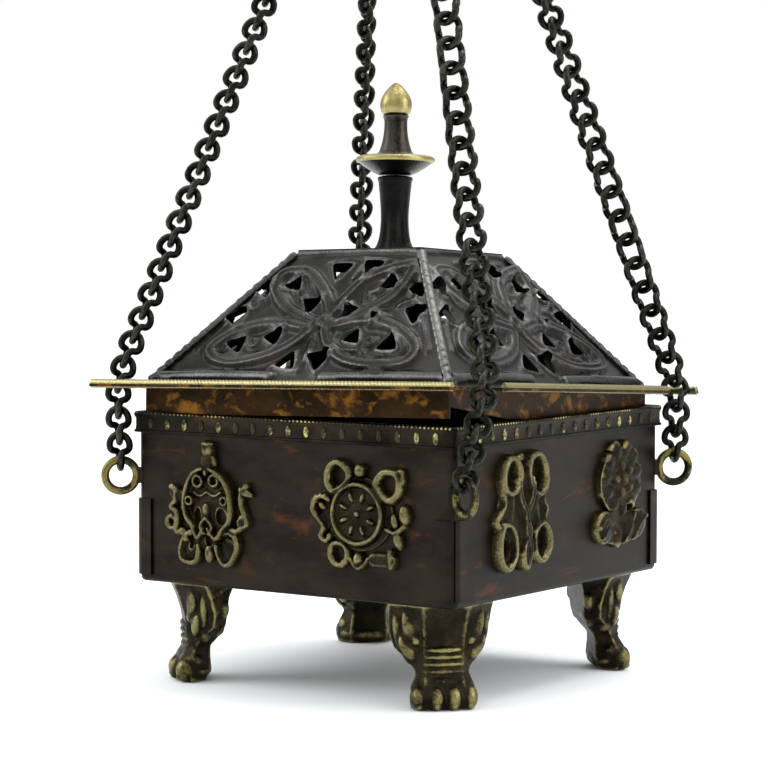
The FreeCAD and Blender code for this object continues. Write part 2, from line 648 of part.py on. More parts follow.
# ---------------------------------------------------------------- ash pan
def make_ash_pan():
    """A loose tray that stands on the rivet heads, with a folded rim."""
    body = new_body("ash_pan")
    start = "sizes.foot_height + sizes.box_wall + sizes.rivet_head_height"
    outline = new_sketch(body, "pan_outline", offset=start)
    add_rectangle(outline, "sizes.pan_side / 2", "sizes.pan_side / 2")
    pad(body, outline, "sizes.pan_height")
    hollow = new_sketch(body, "pan_hollow", offset=f"{start} + sizes.pan_height")
    half = "sizes.pan_side / 2 - sizes.pan_wall"
    add_rectangle(hollow, half, half)
    pocket(body, hollow, "sizes.pan_height - sizes.pan_wall")
    rim = new_sketch(body, "pan_rim_outline", offset=f"{start} + sizes.pan_height - sizes.pan_rim")
    add_rectangle(rim, "sizes.pan_side / 2 + sizes.pan_wall", "sizes.pan_side / 2 + sizes.pan_wall")
    add_rectangle(rim, half, half)
    pad(body, rim, "sizes.pan_rim")


# ---------------------------------------------------------------- lid
def make_lid_flange():
    """The lid's flat sheet: a square hole under the roof and a round hole at each corner. The two
    corner holes towards +X have torn open to that edge."""
    body = new_body("lid_flange")
    outline = new_sketch(body, "flange_outline")
    add_rectangle(outline, "sizes.flange_side / 2", "sizes.flange_side / 2")
    add_rectangle(outline, "sizes.roof_base_side / 2", "sizes.roof_base_side / 2")
    pad(body, outline, "sizes.flange_thickness")
    holes = new_sketch(body, "chain_holes")
    spot = flange_half - size("corner_hole_inset")
    for x, y in CORNERS.values():
        circle = add_circle(holes, x * spot, y * spot, 1, "sizes.corner_hole_radius")
        for kind, value in (("DistanceX", x * spot), ("DistanceY", y * spot)):
            holes.addConstraint(Sketcher.Constraint(kind, -1, 1, circle, 3, value))
    pocket(body, holes)
    tears = new_sketch(body, "torn_edges")
    for sign, corner in ((-1, "front"), (1, "back")):
        start = sign * (flange_half - size(f"{corner}_tear_start"))
        end = sign * (flange_half - size(f"{corner}_tear_end"))
        beyond = flange_half + size("corner_hole_inset")
        deep = flange_half - size(f"{corner}_tear_depth")
        lip = flange_half - size("edge_strip_width")
        add_loop(tears, [Vector(spot, start, 0), Vector(beyond, start, 0), Vector(beyond, end, 0),
                         Vector(lip, end, 0), Vector(deep, end + sign * size("tear_slope"), 0),
                         Vector(deep, sign * spot, 0)])
    pocket(body, tears)
    body.Placement = lid_frame


def edge_strip_spans():
    """How far each strip runs along its edge to its left and to its right end, from outside."""
    mitred = flange_half - size("edge_strip_width")
    return {"front": (flange_half, flange_half - size("front_tear_start") - size("edge_strip_width")),
            "right": (flange_half - size("front_tear_end"), flange_half - size("back_tear_end")),
            "back": (flange_half, flange_half), "left": (mitred, mitred)}


STRIP_SHOULDER = 0.45


def make_edge_strip(side):
    """A rope-edged brass strip on the flange's edge, its ends cut where the corner holes are torn."""
    body = new_body(f"edge_strip_{side}")
    left, right = edge_strip_spans()[side]
    profile = new_sketch(body, body.Name + "_profile", "YZ_Plane")
    outer = -flange_half
    inner = outer + size("edge_strip_width")
    base = flange_top
    crown = base + size("edge_strip_height")
    shoulder = base + size("edge_strip_height") * STRIP_SHOULDER
    profile.addGeometry(Part.LineSegment(Vector(outer, base, 0), Vector(inner, base, 0)), False)
    profile.addGeometry(Part.LineSegment(Vector(inner, base, 0), Vector(inner, shoulder, 0)), False)
    profile.addGeometry(Part.Arc(Vector(inner, shoulder, 0), Vector((inner + outer) / 2, crown, 0),
                                 Vector(outer, shoulder, 0)), False)
    profile.addGeometry(Part.LineSegment(Vector(outer, shoulder, 0), Vector(outer, base, 0)), False)
    pad(body, profile, str(left + right))
    profile.AttachmentOffset = Placement(Vector(0, 0, -left), Rotation())
    doc.recompute()
    body.Placement = lid_frame.multiply(Placement(ORIGIN, Rotation(Z_AXIS, SIDES[side])))


def make_skirt_strip(side):
    """One of the four strips that hang inside the box's mouth; the right one is cut away towards
    its front end, which leaves a gap over the rim."""
    body = new_body(f"skirt_{side}")
    outer = inner_half - size("skirt_clearance")
    reach = outer - (0 if side in ("front", "back") else size("skirt_thickness") + size("skirt_gap"))
    depth = size("skirt_depth")
    front_depth = size("skirt_trimmed_depth") if side == "right" else depth
    slope_end = size("skirt_trim_length") - reach
    profile = new_sketch(body, body.Name + "_profile", "XZ_Plane", str(outer - size("skirt_thickness")))
    corners = [Vector(-reach, 0, 0), Vector(-reach, -front_depth, 0), Vector(slope_end, -depth, 0),
               Vector(reach, -depth, 0), Vector(reach, 0, 0)]
    add_loop(profile, corners)
    pad(body, profile, "sizes.skirt_thickness")
    body.Placement = lid_frame.multiply(Placement(ORIGIN, Rotation(Z_AXIS, SIDES[side])))


# The tracery was drawn for a panel with this half base and slant length. Pierced holes: place
# across the panel and up its slope, reach, turn in degrees. The metal left around them is one
# crossing with four loops, and it isn't quite central.
ROOF_DESIGN = (57.4, 54.7)
ROOF_HOLES = (
    (-5.6, 46.2, 4.3, 30), (6.0, 47.1, 4.3, 25), (-20.5, 40.2, 3.4, 20), (-10.4, 32.1, 4.0, 35),
    (5.2, 29.4, 3.4, 10), (15.8, 40.4, 3.9, 100), (28.0, 37.7, 4.0, 60), (30.6, 28.3, 4.6, 40),
    (16.6, 26.7, 2.0, 20), (11.6, 18.5, 3.4, 200), (25.8, 15.9, 4.0, 90), (2.4, 10.1, 4.8, 40),
    (-8.8, 8.8, 4.2, 80), (-18.8, 18.9, 3.8, 60), (-31.4, 15.7, 3.8, 60), (-37.2, 27.1, 4.6, 60),
    (-31.6, 38.5, 4.0, 60),
)
HOLE_BULGE = 0.12


def roof_slope():
    """Angle of a panel above the flange, in radians."""
    return math.atan2(size("roof_height"), roof_half - cap_half)


def hip_inset():
    """How far a panel's slanting edges stay back so that two panels meet at their inner edges."""
    between_normals = math.acos(math.cos(roof_slope()) ** 2)
    return size("panel_thickness") * math.tan(between_normals / 2) + size("panel_gap")


def make_roof_panel(name):
    """A pierced panel, drawn flat on the XY plane with its base on the X axis."""
    body = new_body(name)
    slant = size("roof_height") / math.sin(roof_slope())
    lean = math.atan2(roof_half - cap_half, slant)
    inset = hip_inset() / math.cos(lean)
    outline = new_sketch(body, name + "_outline")
    add_loop(outline, [Vector(-roof_half + inset, 0, 0), Vector(roof_half - inset, 0, 0),
                       Vector(cap_half - inset, slant, 0), Vector(inset - cap_half, slant, 0)])
    pad(body, outline, "sizes.panel_thickness", reverse=True)
    holes = new_sketch(body, name + "_holes")
    scale_x, scale_y = roof_half / ROOF_DESIGN[0], slant / ROOF_DESIGN[1]
    for x, y, reach, turn in ROOF_HOLES:
        centre = Vector((x + size("panel_motif_shift")) * scale_x, y * scale_y, 0)
        points = [centre + Rotation(Z_AXIS, turn + third).multVec(X_AXIS) * reach for third in (0, 120, 240)]
        add_loop(holes, points, HOLE_BULGE)
    pocket(body, holes)
    return body


def panel_place(side):
    lean_back = Rotation(X_AXIS, math.degrees(roof_slope()))
    foot = Placement(Vector(0, -roof_half, flange_top), lean_back)
    return lid_frame.multiply(Placement(ORIGIN, Rotation(Z_AXIS, SIDES[side]))).multiply(foot)


def make_roof_cap():
    """The flat top of the roof, with the finial's hole."""
    body = new_body("roof_cap")
    outline = new_sketch(body, "cap_outline", offset="sizes.flange_thickness + sizes.roof_height")
    add_rectangle(outline, "sizes.roof_top_side / 2", "sizes.roof_top_side / 2")
    add_circle(outline, size("finial_shift_x"), size("finial_shift_y"), 1,
               "sizes.finial_tenon_radius + sizes.finial_tenon_slack")
    for kind, value in (("DistanceX", "finial_shift_x"), ("DistanceY", "finial_shift_y")):
        bind(outline, kind, (-1, 1, 4, 3), f"sizes.{value}", size(value))
    pad(body, outline, "sizes.cap_thickness")
    body.Placement = lid_frame


HIP_SHOULDER = 0.4


def make_hip_strip(name):
    """A ridged strip over a hip: its underside is the valley between two panels' outer faces."""
    body = new_body(name)
    base = Vector(roof_half, -roof_half, 0)
    top = Vector(cap_half, -cap_half, size("roof_height"))
    along = (top - base).normalize()
    slope = roof_slope()
    front_normal = Vector(0, -math.sin(slope), math.cos(slope))
    right_normal = Vector(math.sin(slope), 0, math.cos(slope))
    outward = (front_normal + right_normal).normalize()
    fall = math.pi / 2 - outward.getAngle(along.cross(front_normal))
    half_width = size("hip_width") / 2
    drop = half_width * abs(math.tan(fall))
    profile = new_sketch(body, name + "_profile")
    peak = Vector(0, 0, 0)
    right, left = Vector(half_width, -drop, 0), Vector(-half_width, -drop, 0)
    crown = Vector(0, size("hip_height"), 0)
    lift = crown * HIP_SHOULDER
    profile.addGeometry(Part.LineSegment(left, peak), False)
    profile.addGeometry(Part.LineSegment(peak, right), False)
    profile.addGeometry(Part.LineSegment(right, right + lift), False)
    profile.addGeometry(Part.Arc(right + lift, crown, left + lift), False)
    profile.addGeometry(Part.LineSegment(left + lift, left), False)
    length = (top - base).Length - 2 * size("hip_end_gap") - drop
    pad(body, profile, str(length))
    start = base + along * (size("hip_end_gap") + drop) + Z_AXIS * flange_top
    return body, Placement(start, Rotation(outward.cross(along), outward, along, "ZYX"))


def make_hips():
    for index, corner in enumerate(("front_right", "back_right", "back_left", "front_left")):
        body, place = make_hip_strip(f"hip_strip_{corner}")
        body.Placement = lid_frame.multiply(Placement(ORIGIN, Rotation(Z_AXIS, 90 * index))).multiply(place)


# ---------------------------------------------------------------- finial
def turned(name, level, points):
    """A turned piece whose profile runs through the points (radius, height over level)."""
    body = new_body(name)
    profile = new_sketch(body, name + "_profile", "XZ_Plane")
    outline = [Vector(radius, level + height, 0) for radius, height in points]
    for index, start in enumerate(outline):
        profile.addGeometry(Part.LineSegment(start, outline[(index + 1) % len(outline)]), False)
    revolve(body, profile)
    shift = Vector(size("finial_shift_x"), size("finial_shift_y"), 0)
    body.Placement = lid_frame.multiply(Placement(shift, Rotation()))
    return body


# Profiles of the stem, the disc and the bud. The stem and the bud's neck give a share of a named
# radius and a height in millimetres; the disc and the bud give shares of their radius and height.
STEM_PROFILE = ((0.96, 10.5), (1.06, 17.0), (1.16, 21.5), (0.9, 23.4))
DISC_PROFILE = ((0.62, 0.3), (1.0, 0.55), (1.0, 0.8), (0.7, 0.92))
NECK_PROFILE = ((1.5, 0.0), (1.2, 2.6), (1.0, 6.5), (1.04, 12.2))
BUD_PROFILE = ((0.8, 0.0), (1.0, 0.32), (0.8, 0.6), (0.3, 0.88), (0.0, 1.0))
STEM_FOOT_HEIGHT = 1.6
STEM_WAIST_LEVEL = 5.5


def make_finial():
    """Stem with a tenon through the roof cap, a nut peened under it, the drip disc, and the bud."""
    cap_top = flange_top + size("roof_height") + size("cap_thickness")
    tenon = size("finial_tenon_radius")
    waist, foot = size("stem_waist_radius"), size("stem_base_radius")
    stem_top = size("stem_height")
    below = -size("cap_thickness") - size("finial_nut_height")
    shaft = [(waist * share, height) for share, height in STEM_PROFILE]
    turned("finial_stem", cap_top, [
        (0, below), (tenon, below), (tenon, 0), (foot, 0), (foot, STEM_FOOT_HEIGHT),
        (waist, STEM_WAIST_LEVEL), *shaft, (shaft[-1][0], stem_top), (0, stem_top)])
    bore, nut = tenon + size("finial_tenon_slack"), size("finial_nut_radius")
    nut_top = -size("cap_thickness")
    turned("finial_nut", cap_top, [(bore, below), (nut, below), (nut, nut_top), (bore, nut_top)])
    rim, depth = size("disc_radius"), size("disc_height")
    rounds = [(rim * share, depth * height) for share, height in DISC_PROFILE]
    turned("finial_disc", cap_top + stem_top, [(0, 0), (waist, 0), *rounds, (waist, depth), (0, depth)])
    neck, neck_height = size("neck_radius"), size("neck_height")
    bud, tall = size("bud_radius"), size("bud_height")
    stalk = [(neck * share, height) for share, height in NECK_PROFILE]
    head = [(bud * share, neck_height + tall * height) for share, height in BUD_PROFILE]
    turned("finial_bud", cap_top + stem_top + depth, [(0, 0), *stalk, *head])


# ---------------------------------------------------------------- assembly
def corner_turn(x, y):
    return Rotation(Z_AXIS, math.degrees(math.atan2(y, x)))


make_box_shell()
make_rim_band()
make_foot_rivets()
corner_rings = []
for corner_name, (sign_x, sign_y) in CORNERS.items():
    outward_turn = corner_turn(sign_x, sign_y)
    seam = make_corner_seam(f"corner_seam_{corner_name}")
    seam.Placement = Placement(ORIGIN, Rotation(Z_AXIS, -45).multiply(outward_turn))
    foot = make_foot(f"foot_{corner_name}")
    foot.Placement = Placement(outward_turn.multVec(X_AXIS * foot_axis_radius()), outward_turn)
    ring = make_corner_ring(f"corner_ring_{corner_name}")
    ring_spot, ring_way = ring_place(corner_name, sign_x, sign_y)
    ring.Placement = Placement(ring_spot, Rotation(X_AXIS, ring_way).multiply(Rotation(X_AXIS, 90)))
    corner_rings.append(ring)
    make_chain(corner_name, sign_x, sign_y)
make_gather_ring()
make_ash_pan()
doc.recompute()
make_ring_lugs(corner_rings)
for side_name, (left_emblem, right_emblem) in EMBLEM_PLACES.items():
    wall_turn = Rotation(Z_AXIS, SIDES[side_name])
    wall = "right_wall" if side_name == "right" else "emblem"
    for kind, offset in ((left_emblem, f"{wall}_left_offset"), (right_emblem, f"{wall}_right_offset")):
        emblem = make_emblem(kind)
        spot = Vector(size(offset), -half_box, size("emblem_level"))
        emblem.Placement = Placement(wall_turn.multVec(spot), wall_turn)
make_lid_flange()
for side_name in SIDES:
    make_edge_strip(side_name)
    make_skirt_strip(side_name)
    panel = make_roof_panel(f"roof_panel_{side_name}")
    panel.Placement = panel_place(side_name)
make_roof_cap()
make_hips()
make_finial()
doc.recompute()

# ---------------------------------------------------------------- checks and files
NODE_TYPES = ("PartDesign::Body", "Part::Feature", "Part::Torus")
nodes = [thing for thing in doc.Objects if thing.TypeId in NODE_TYPES]
for thing in doc.Objects:
    if "Invalid" in thing.State or "Error" in thing.State:
        raise RuntimeError(f"{thing.Name} failed: {thing.State}")
for node in nodes:
    if node.Shape.isNull() or not node.Shape.isValid():
        raise RuntimeError(f"{node.Label} has no valid shape")
os.makedirs("parts", exist_ok=True)
for node in nodes:
    node.Shape.exportStep(f"parts/{node.Label}.step")
    print(f"{node.Label}: {len(node.Shape.Solids)} solids, {node.Shape.Volume:.1f} mm3")
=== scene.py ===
# %% [markdown]
# # A hanging box censer, finished in Blender
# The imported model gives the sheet-metal box, the lid, the feet and the chains at their true sizes.
# This lesson keeps the plain pieces, rebuilds the cast and rolled ones with their relief, and gives
# every metal its own worn finish.

import json
import math

import bmesh
import bpy
import numpy as np
from mathutils import Matrix, Vector


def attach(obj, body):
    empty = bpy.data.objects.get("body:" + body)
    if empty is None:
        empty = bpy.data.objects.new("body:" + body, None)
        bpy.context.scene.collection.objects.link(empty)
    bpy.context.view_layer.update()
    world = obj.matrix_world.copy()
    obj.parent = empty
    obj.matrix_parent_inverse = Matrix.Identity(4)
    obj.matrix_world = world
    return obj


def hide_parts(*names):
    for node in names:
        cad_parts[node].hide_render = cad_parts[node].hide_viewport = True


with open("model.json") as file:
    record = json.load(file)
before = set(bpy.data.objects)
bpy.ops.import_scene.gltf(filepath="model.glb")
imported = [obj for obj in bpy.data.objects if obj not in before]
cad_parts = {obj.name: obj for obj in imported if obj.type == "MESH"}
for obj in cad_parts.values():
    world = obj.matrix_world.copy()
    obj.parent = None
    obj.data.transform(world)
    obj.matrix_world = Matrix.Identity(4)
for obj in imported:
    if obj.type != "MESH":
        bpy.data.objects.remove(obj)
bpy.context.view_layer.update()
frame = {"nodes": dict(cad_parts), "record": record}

# %% [markdown]
# ## Sizes and places
# Everything is drawn in millimetres with simple numbers, then scaled to metres and set in its
# place once, so that each finished mesh already stands where it belongs. The lid leans, and all
# of its pieces share one matrix.

# %% Sizes and places
MM = 0.001
HALF_BOX = 60.0
FLOOR_UNDER = 31.7
RIM_LEVEL = 85.5
BAND_HALF = 61.3
LID_GAP = 0.3
FLANGE_HALF = 70.2
FLANGE_THICK = 0.9
ROOF_HALF = 57.3
CAP_HALF = 23.5
ROOF_HEIGHT = 42.4
PANEL_THICK = 1.4
CORNERS = {"front_left": (-1, -1), "front_right": (1, -1), "back_right": (1, 1), "back_left": (-1, 1)}
SIDES = {"front": 0, "right": 90, "back": 180, "left": 270}


def turn(degrees, axis="Z"):
    return Matrix.Rotation(math.radians(degrees), 4, axis)


def move(x, y, z):
    return Matrix.Translation((x, y, z))


LID_LEAN = turn(-3.41, "X") @ turn(-1.61, "Y")
lid_drop = max(-(LID_LEAN @ Vector((x * BAND_HALF, y * BAND_HALF, 0))).z for x, y in CORNERS.values())
LID = move(-0.7, -0.4, RIM_LEVEL + LID_GAP + lid_drop) @ LID_LEAN
print(f"the lid's frame stands {LID.translation.z:.2f} mm high")

# %% [markdown]
# ## Finishing a piece
# Cast and handled metal is bright where hands and cloths reach it and dark in its hollows. A mesh
# knows where those are: smoothing it pulls every ridge in and fills every hollow, so the distance
# between a point and its smoothed place, along its normal, tells high spots from low ones. That
# number is stored on each point as "worn", and the metals read it.

# %% Wear and the finished object
SHARP_ANGLE = math.radians(50)


def mark_wear(bm, depth, passes=12):
    """Stores 0 in hollows, 0.5 on flats and 1 on ridges that stand depth above their surroundings."""
    bm.verts.index_update()
    bm.normal_update()
    places = np.array([vert.co[:] for vert in bm.verts])
    normals = np.array([vert.normal[:] for vert in bm.verts])
    ends = np.array([[vert.index for vert in edge.verts] for edge in bm.edges])
    joined = np.zeros(len(places))
    np.add.at(joined, ends.ravel(), 1)
    smooth = places.copy()
    for _ in range(passes):
        pulled = np.zeros_like(smooth)
        np.add.at(pulled, ends[:, 0], smooth[ends[:, 1]])
        np.add.at(pulled, ends[:, 1], smooth[ends[:, 0]])
        smooth = pulled / np.maximum(joined, 1)[:, None]
    height = ((places - smooth) * normals).sum(axis=1)
    layer = bm.verts.layers.float.new("worn")
    for vert, value in zip(bm.verts, np.clip(0.5 + height / (2 * depth), 0, 1)):
        vert[layer] = value


def finish_piece(name, bm, material, body, place=Matrix(), stands_for=(), wear_depth=0.25, passes=12):
    """Makes one object of a bmesh drawn in millimetres and ties it to its body."""
    bmesh.ops.recalc_face_normals(bm, faces=bm.faces)
    mark_wear(bm, wear_depth, passes)
    bmesh.ops.transform(bm, matrix=Matrix.Scale(MM, 4) @ place, verts=bm.verts)
    mesh = bpy.data.meshes.new(name)
    bm.to_mesh(mesh)
    bm.free()
    mesh.shade_smooth()
    mesh.set_sharp_from_angle(angle=SHARP_ANGLE)
    mesh.materials.append(material)
    thing = bpy.data.objects.new(name, mesh)
    bpy.context.scene.collection.objects.link(thing)
    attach(thing, body)
    if stands_for:
        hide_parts(*stands_for)
    print(f"{name}: {len(mesh.polygons)} faces")


def apply_modifiers(bm, *modifiers):
    """Runs modifiers over a bmesh and returns the result as a new bmesh."""
    mesh = bpy.data.meshes.new("work")
    bm.to_mesh(mesh)
    bm.free()
    thing = bpy.data.objects.new("work", mesh)
    bpy.context.scene.collection.objects.link(thing)
    for kind, settings in modifiers:
        modifier = thing.modifiers.new(kind.lower(), kind)
        for key, value in settings.items():
            setattr(modifier, key, value)
    evaluated = thing.evaluated_get(bpy.context.evaluated_depsgraph_get())
    result = bmesh.new()
    result.from_mesh(evaluated.to_mesh())
    evaluated.to_mesh_clear()
    bpy.data.objects.remove(thing)
    bpy.data.meshes.remove(mesh)
    return result


# %% [markdown]
# ## The metals
# The box is brass sheet, darkened with a brown patina and stained orange where heat has reached
# it. Castings are the same brass, blackened and then rubbed bright on their high spots. The roof
# is a lead-grey casting with a glossy skin, and the chains are blackened iron wire. Each of them
# is one node tree: two dark tones in broad patches, a stain, the worn tone where the piece is
# high, and a fine grain in the bump. Metals keep the shader's default IOR.

# %% Material helpers
def tone(hex_code):
    """An sRGB hex colour as the linear colour that a shader expects."""
    channels = [int(hex_code[start:start + 2], 16) / 255 for start in (0, 2, 4)]
    linear = [c / 12.92 if c <= 0.04045 else ((c + 0.055) / 1.055) ** 2.4 for c in channels]
    return (*linear, 1.0)


def add(tree, kind, inputs=None, **settings):
    """Adds a node; inputs maps sockets to values or to the sockets that feed them."""
    node = tree.nodes.new(kind)
    for key, value in settings.items():
        setattr(node, key, value)
    for key, value in (inputs or {}).items():
        if isinstance(value, bpy.types.NodeSocket):
            tree.links.new(value, node.inputs[key])
        else:
            node.inputs[key].default_value = value
    return node


def per_mm(size):
    """Noise scale, on coordinates in metres, that gives features of this size in millimetres."""
    return 1 / (size * MM)


# The Mix node's colour sockets share their names with its number sockets, so they go by place.
MIX_A, MIX_B, MIX_RESULT = 6, 7, 2
# Where the noise turns from the dark tone to the light one, how soft a stain's edge is, and how
# much the grain and the patches move the wear and the gloss.
PATCH_FROM, PATCH_TO = 0.38, 0.64
STAIN_EDGE = 0.14
GRAIN_SHARE = 0.4
GLOSS_SHARE = 0.3


def aged_metal(name, dark, light, stain, bright, roughness, patch=22.0, stain_patch=16.0,
               stain_from=0.56, worn_from=0.62, worn_to=0.85, grain=0.8, relief=0.12, streak=1.0,
               bright_roughness=0.3, patchy=0.35):
    """A metal whose patina varies in patches of the given sizes in millimetres and is rubbed
    through to the bright tone where the mesh says it is worn."""
    material = bpy.data.materials.new(name)
    material.use_nodes = True
    tree = material.node_tree
    tree.nodes.clear()
    place = add(tree, "ShaderNodeTexCoord").outputs["Object"]
    long_way = add(tree, "ShaderNodeMapping", {"Vector": place, "Scale": (1, 1, streak)}).outputs[0]
    patches = add(tree, "ShaderNodeTexNoise", {"Vector": long_way, "Scale": per_mm(patch), "Detail": 6.0,
                                               "Roughness": 0.62}).outputs["Fac"]
    stains = add(tree, "ShaderNodeTexNoise", {"Vector": long_way, "Scale": per_mm(stain_patch), "Detail": 5.0,
                                              "Roughness": 0.6, "Distortion": 0.6}).outputs["Fac"]
    speckle = add(tree, "ShaderNodeTexNoise",
                  {"Vector": place, "Scale": per_mm(grain), "Detail": 3.0}).outputs["Fac"]
    patch_share = add(tree, "ShaderNodeMapRange",
                      {"Value": patches, "From Min": PATCH_FROM, "From Max": PATCH_TO}).outputs[0]
    stain_share = add(tree, "ShaderNodeMapRange", {"Value": stains, "From Min": stain_from,
                                                   "From Max": stain_from + STAIN_EDGE}).outputs[0]
    base = add(tree, "ShaderNodeMix", {0: patch_share, MIX_A: tone(dark), MIX_B: tone(light)}, data_type="RGBA")
    stained = add(tree, "ShaderNodeMix", {0: stain_share, MIX_A: base.outputs[MIX_RESULT], MIX_B: tone(stain)},
                  data_type="RGBA")
    worn = add(tree, "ShaderNodeAttribute", attribute_name="worn").outputs["Fac"]
    breakup = add(tree, "ShaderNodeMath", {0: speckle, 1: GRAIN_SHARE, 2: worn},
                  operation="MULTIPLY_ADD").outputs[0]
    rubbed = add(tree, "ShaderNodeMath", {0: stains, 1: patchy, 2: breakup},
                 operation="MULTIPLY_ADD").outputs[0]
    rubbed = add(tree, "ShaderNodeMath", {0: rubbed, 1: GRAIN_SHARE / 2 + patchy / 2},
                 operation="SUBTRACT").outputs[0]
    rubbed = add(tree, "ShaderNodeMapRange", {"Value": rubbed, "From Min": worn_from, "From Max": worn_to},
                 interpolation_type="SMOOTHSTEP").outputs[0]
    colour = add(tree, "ShaderNodeMix", {0: rubbed, MIX_A: stained.outputs[MIX_RESULT], MIX_B: tone(bright)},
                 data_type="RGBA").outputs[MIX_RESULT]
    rough = add(tree, "ShaderNodeMix", {0: rubbed, 2: roughness, 3: bright_roughness}).outputs[0]
    rough = add(tree, "ShaderNodeMath", {0: patches, 1: GLOSS_SHARE, 2: rough},
                operation="MULTIPLY_ADD").outputs[0]
    rough = add(tree, "ShaderNodeMath", {0: rough, 1: GLOSS_SHARE / 2}, operation="SUBTRACT").outputs[0]
    bump = add(tree, "ShaderNodeBump", {"Height": speckle, "Strength": 1.0, "Distance": relief * MM}).outputs[0]
    shader = add(tree, "ShaderNodeBsdfPrincipled", {"Base Color": colour, "Roughness": rough, "Normal": bump,
                                                    "Metallic": 1.0})
    add(tree, "ShaderNodeOutputMaterial", {"Surface": shader.outputs[0]})
    return material


# %% The finishes
# Rolled brass under a brown patina: near black, with soft rust streaks along the sheet.
patinated_sheet = aged_metal("patinated brass sheet", "1f1b17", "2d2722", "4c301e", "564b34", 0.42,
                             streak=2.5, relief=0.05, stain_from=0.6)
# The same sheet where embers heated it: small orange-brown blotches.
heated_sheet = aged_metal("heat-stained brass sheet", "221910", "372717", "79521f", "77602f", 0.42,
                          patch=9.0, stain_patch=7.0, stain_from=0.52, streak=1.4, relief=0.06)
# A leaded casting polished by handling: slate grey, glossy, a little paler on its ridges.
roof_casting = aged_metal("lead-grey cast roof", "222221", "393837", "43342a", "6e6e6c", 0.3,
                          worn_from=0.78, worn_to=1.3, stain_from=0.58, relief=0.08)
# Sand-cast brass, blackened and rubbed: dull gold on the high strands, soot between them.
cast_emblems = aged_metal("cast brass emblem", "1a1711", "2d291e", "3e301d", "7c7350", 0.45,
                          patch=6.0, stain_patch=9.0, worn_from=0.74, worn_to=1.15, relief=0.16)
# The coarser casting of the feet: a stippled skin, gold on toes and ribs.
cast_feet = aged_metal("cast brass foot", "1c1913", "302b21", "3e301d", "857d50", 0.45,
                       patch=7.0, stain_patch=10.0, worn_from=0.6, worn_to=1.05, grain=0.9, relief=0.3,
                       patchy=0.8)
# A strip of rolled brass: the same patina, only its lips show metal.
beaded_band = aged_metal("rolled brass band", "191612", "2a2620", "3a2b1b", "7a7150", 0.42,
                         worn_from=0.8, worn_to=1.1)
# The beads on it stand proud, so some stretches are bright and others still dark.
band_beads = aged_metal("beads rubbed bright", "2a261d", "3f3a2b", "453a22", "b0a671", 0.4,
                        stain_patch=26.0, worn_from=0.56, worn_to=0.78, patchy=1.3)
# A milled strip that is gripped to lift the lid: pale brass with dirt in its grooves.
edge_brass = aged_metal("rope-milled brass edge", "4f4833", "777050", "5a4d33", "979067", 0.38,
                        worn_from=0.5, worn_to=0.75, patchy=0.6)
# Drawn wire, turned by the chain: brass in stretches, brown in between.
ring_brass = aged_metal("worn brass wire ring", "181713", "292720", "322a1d", "71673b", 0.38,
                        stain_patch=12.0, worn_from=0.6, worn_to=0.78, patchy=1.6)
# Iron wire, oil-blackened: a faintly green black that shines only on the bends.
black_iron = aged_metal("blackened iron chain", "13140f", "22241e", "282620", "3c3e37", 0.42,
                        patch=5.0, worn_from=0.66, worn_to=0.95)
# The front-right hip moulding, which faces the camera, in a paler grey: a painted highlight along that ridge.
hip_highlight_metal = aged_metal("hip moulding with painted highlight", "1f1f1e", "393937", "2f2a24", "636360", 0.34,
                       worn_from=0.5, worn_to=0.85)
# Turned brass, smoked black: almost no metal shows.
finial_dark = aged_metal("blackened turned brass", "131312", "1e1e1d", "2b2217", "403e37", 0.4,
                         patch=8.0, worn_from=0.66, worn_to=1.0)
# Turned brass that fingers keep bright: warm, smooth and a little blotchy.
finial_brass = aged_metal("handled brass", "5e532a", "7b6f3f", "483d1d", "9c9160", 0.32,
                          patch=5.0, stain_patch=4.0, stain_from=0.6, worn_from=0.55, worn_to=0.9)
# Sheet iron under soot: rough and nearly without gloss.
pan_iron = aged_metal("sooty sheet iron", "1d1c1a", "302e2b", "40301f", "4a4640", 0.55)
METALS = {"patinated_sheet": patinated_sheet, "heated_sheet": heated_sheet, "roof_casting": roof_casting,
          "cast_emblems": cast_emblems, "cast_feet": cast_feet, "beaded_band": beaded_band,
          "edge_brass": edge_brass, "ring_brass": ring_brass, "black_iron": black_iron,
          "finial_brass": finial_brass, "pan_iron": pan_iron, "fasteners": patinated_sheet}
print("metals:", len(METALS))

# %% [markdown]
# ## The plain pieces
# The box, its seams, the flange, the skirt, the pan and the rivets are smooth sheet. They could be
# drawn again, but a smooth sheet gains nothing from that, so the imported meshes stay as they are
# and only take their finish.

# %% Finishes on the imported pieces
slots = {part["node"]: part["material_slot"] for part in frame["record"]["subparts"]}
for node_name, node_object in frame["nodes"].items():
    node_object.data.materials.clear()
    node_object.data.materials.append(METALS[slots[node_name]])

# %% [markdown]
# ## Relief castings
# The roof panels and the emblems are shallow castings: a plate with strands, beads and leaves
# that flow into each other, and holes that go right through. Modelling each strand as a tube
# would leave seams between them. Here a fine grid is lifted by a height that is the highest of
# all the marks over it, trimmed where no mark or a hole lies, its edge is drawn onto the true
# outline, and the whole is extruded back to a flat underside.

# %% Marks
SHOULDER = 0.45


def smooth_path(points, closed=False, steps=7):
    """Points along a smooth curve through the given ones."""
    points = [np.array(point, float) for point in points]
    count = len(points)
    if closed:
        knots = [points[index % count] for index in range(-1, count + 2)]
    else:
        knots = [points[0], *points, points[-1]]
    path = []
    for a, b, c, d in zip(knots, knots[1:], knots[2:], knots[3:]):
        for share in np.arange(steps) / steps:
            path.append(b + 0.5 * share * (c - a + share * (2 * a - 5 * b + 4 * c - d
                                                            + share * (3 * (b - c) + d - a))))
    path.append(knots[-2])
    return np.array(path)


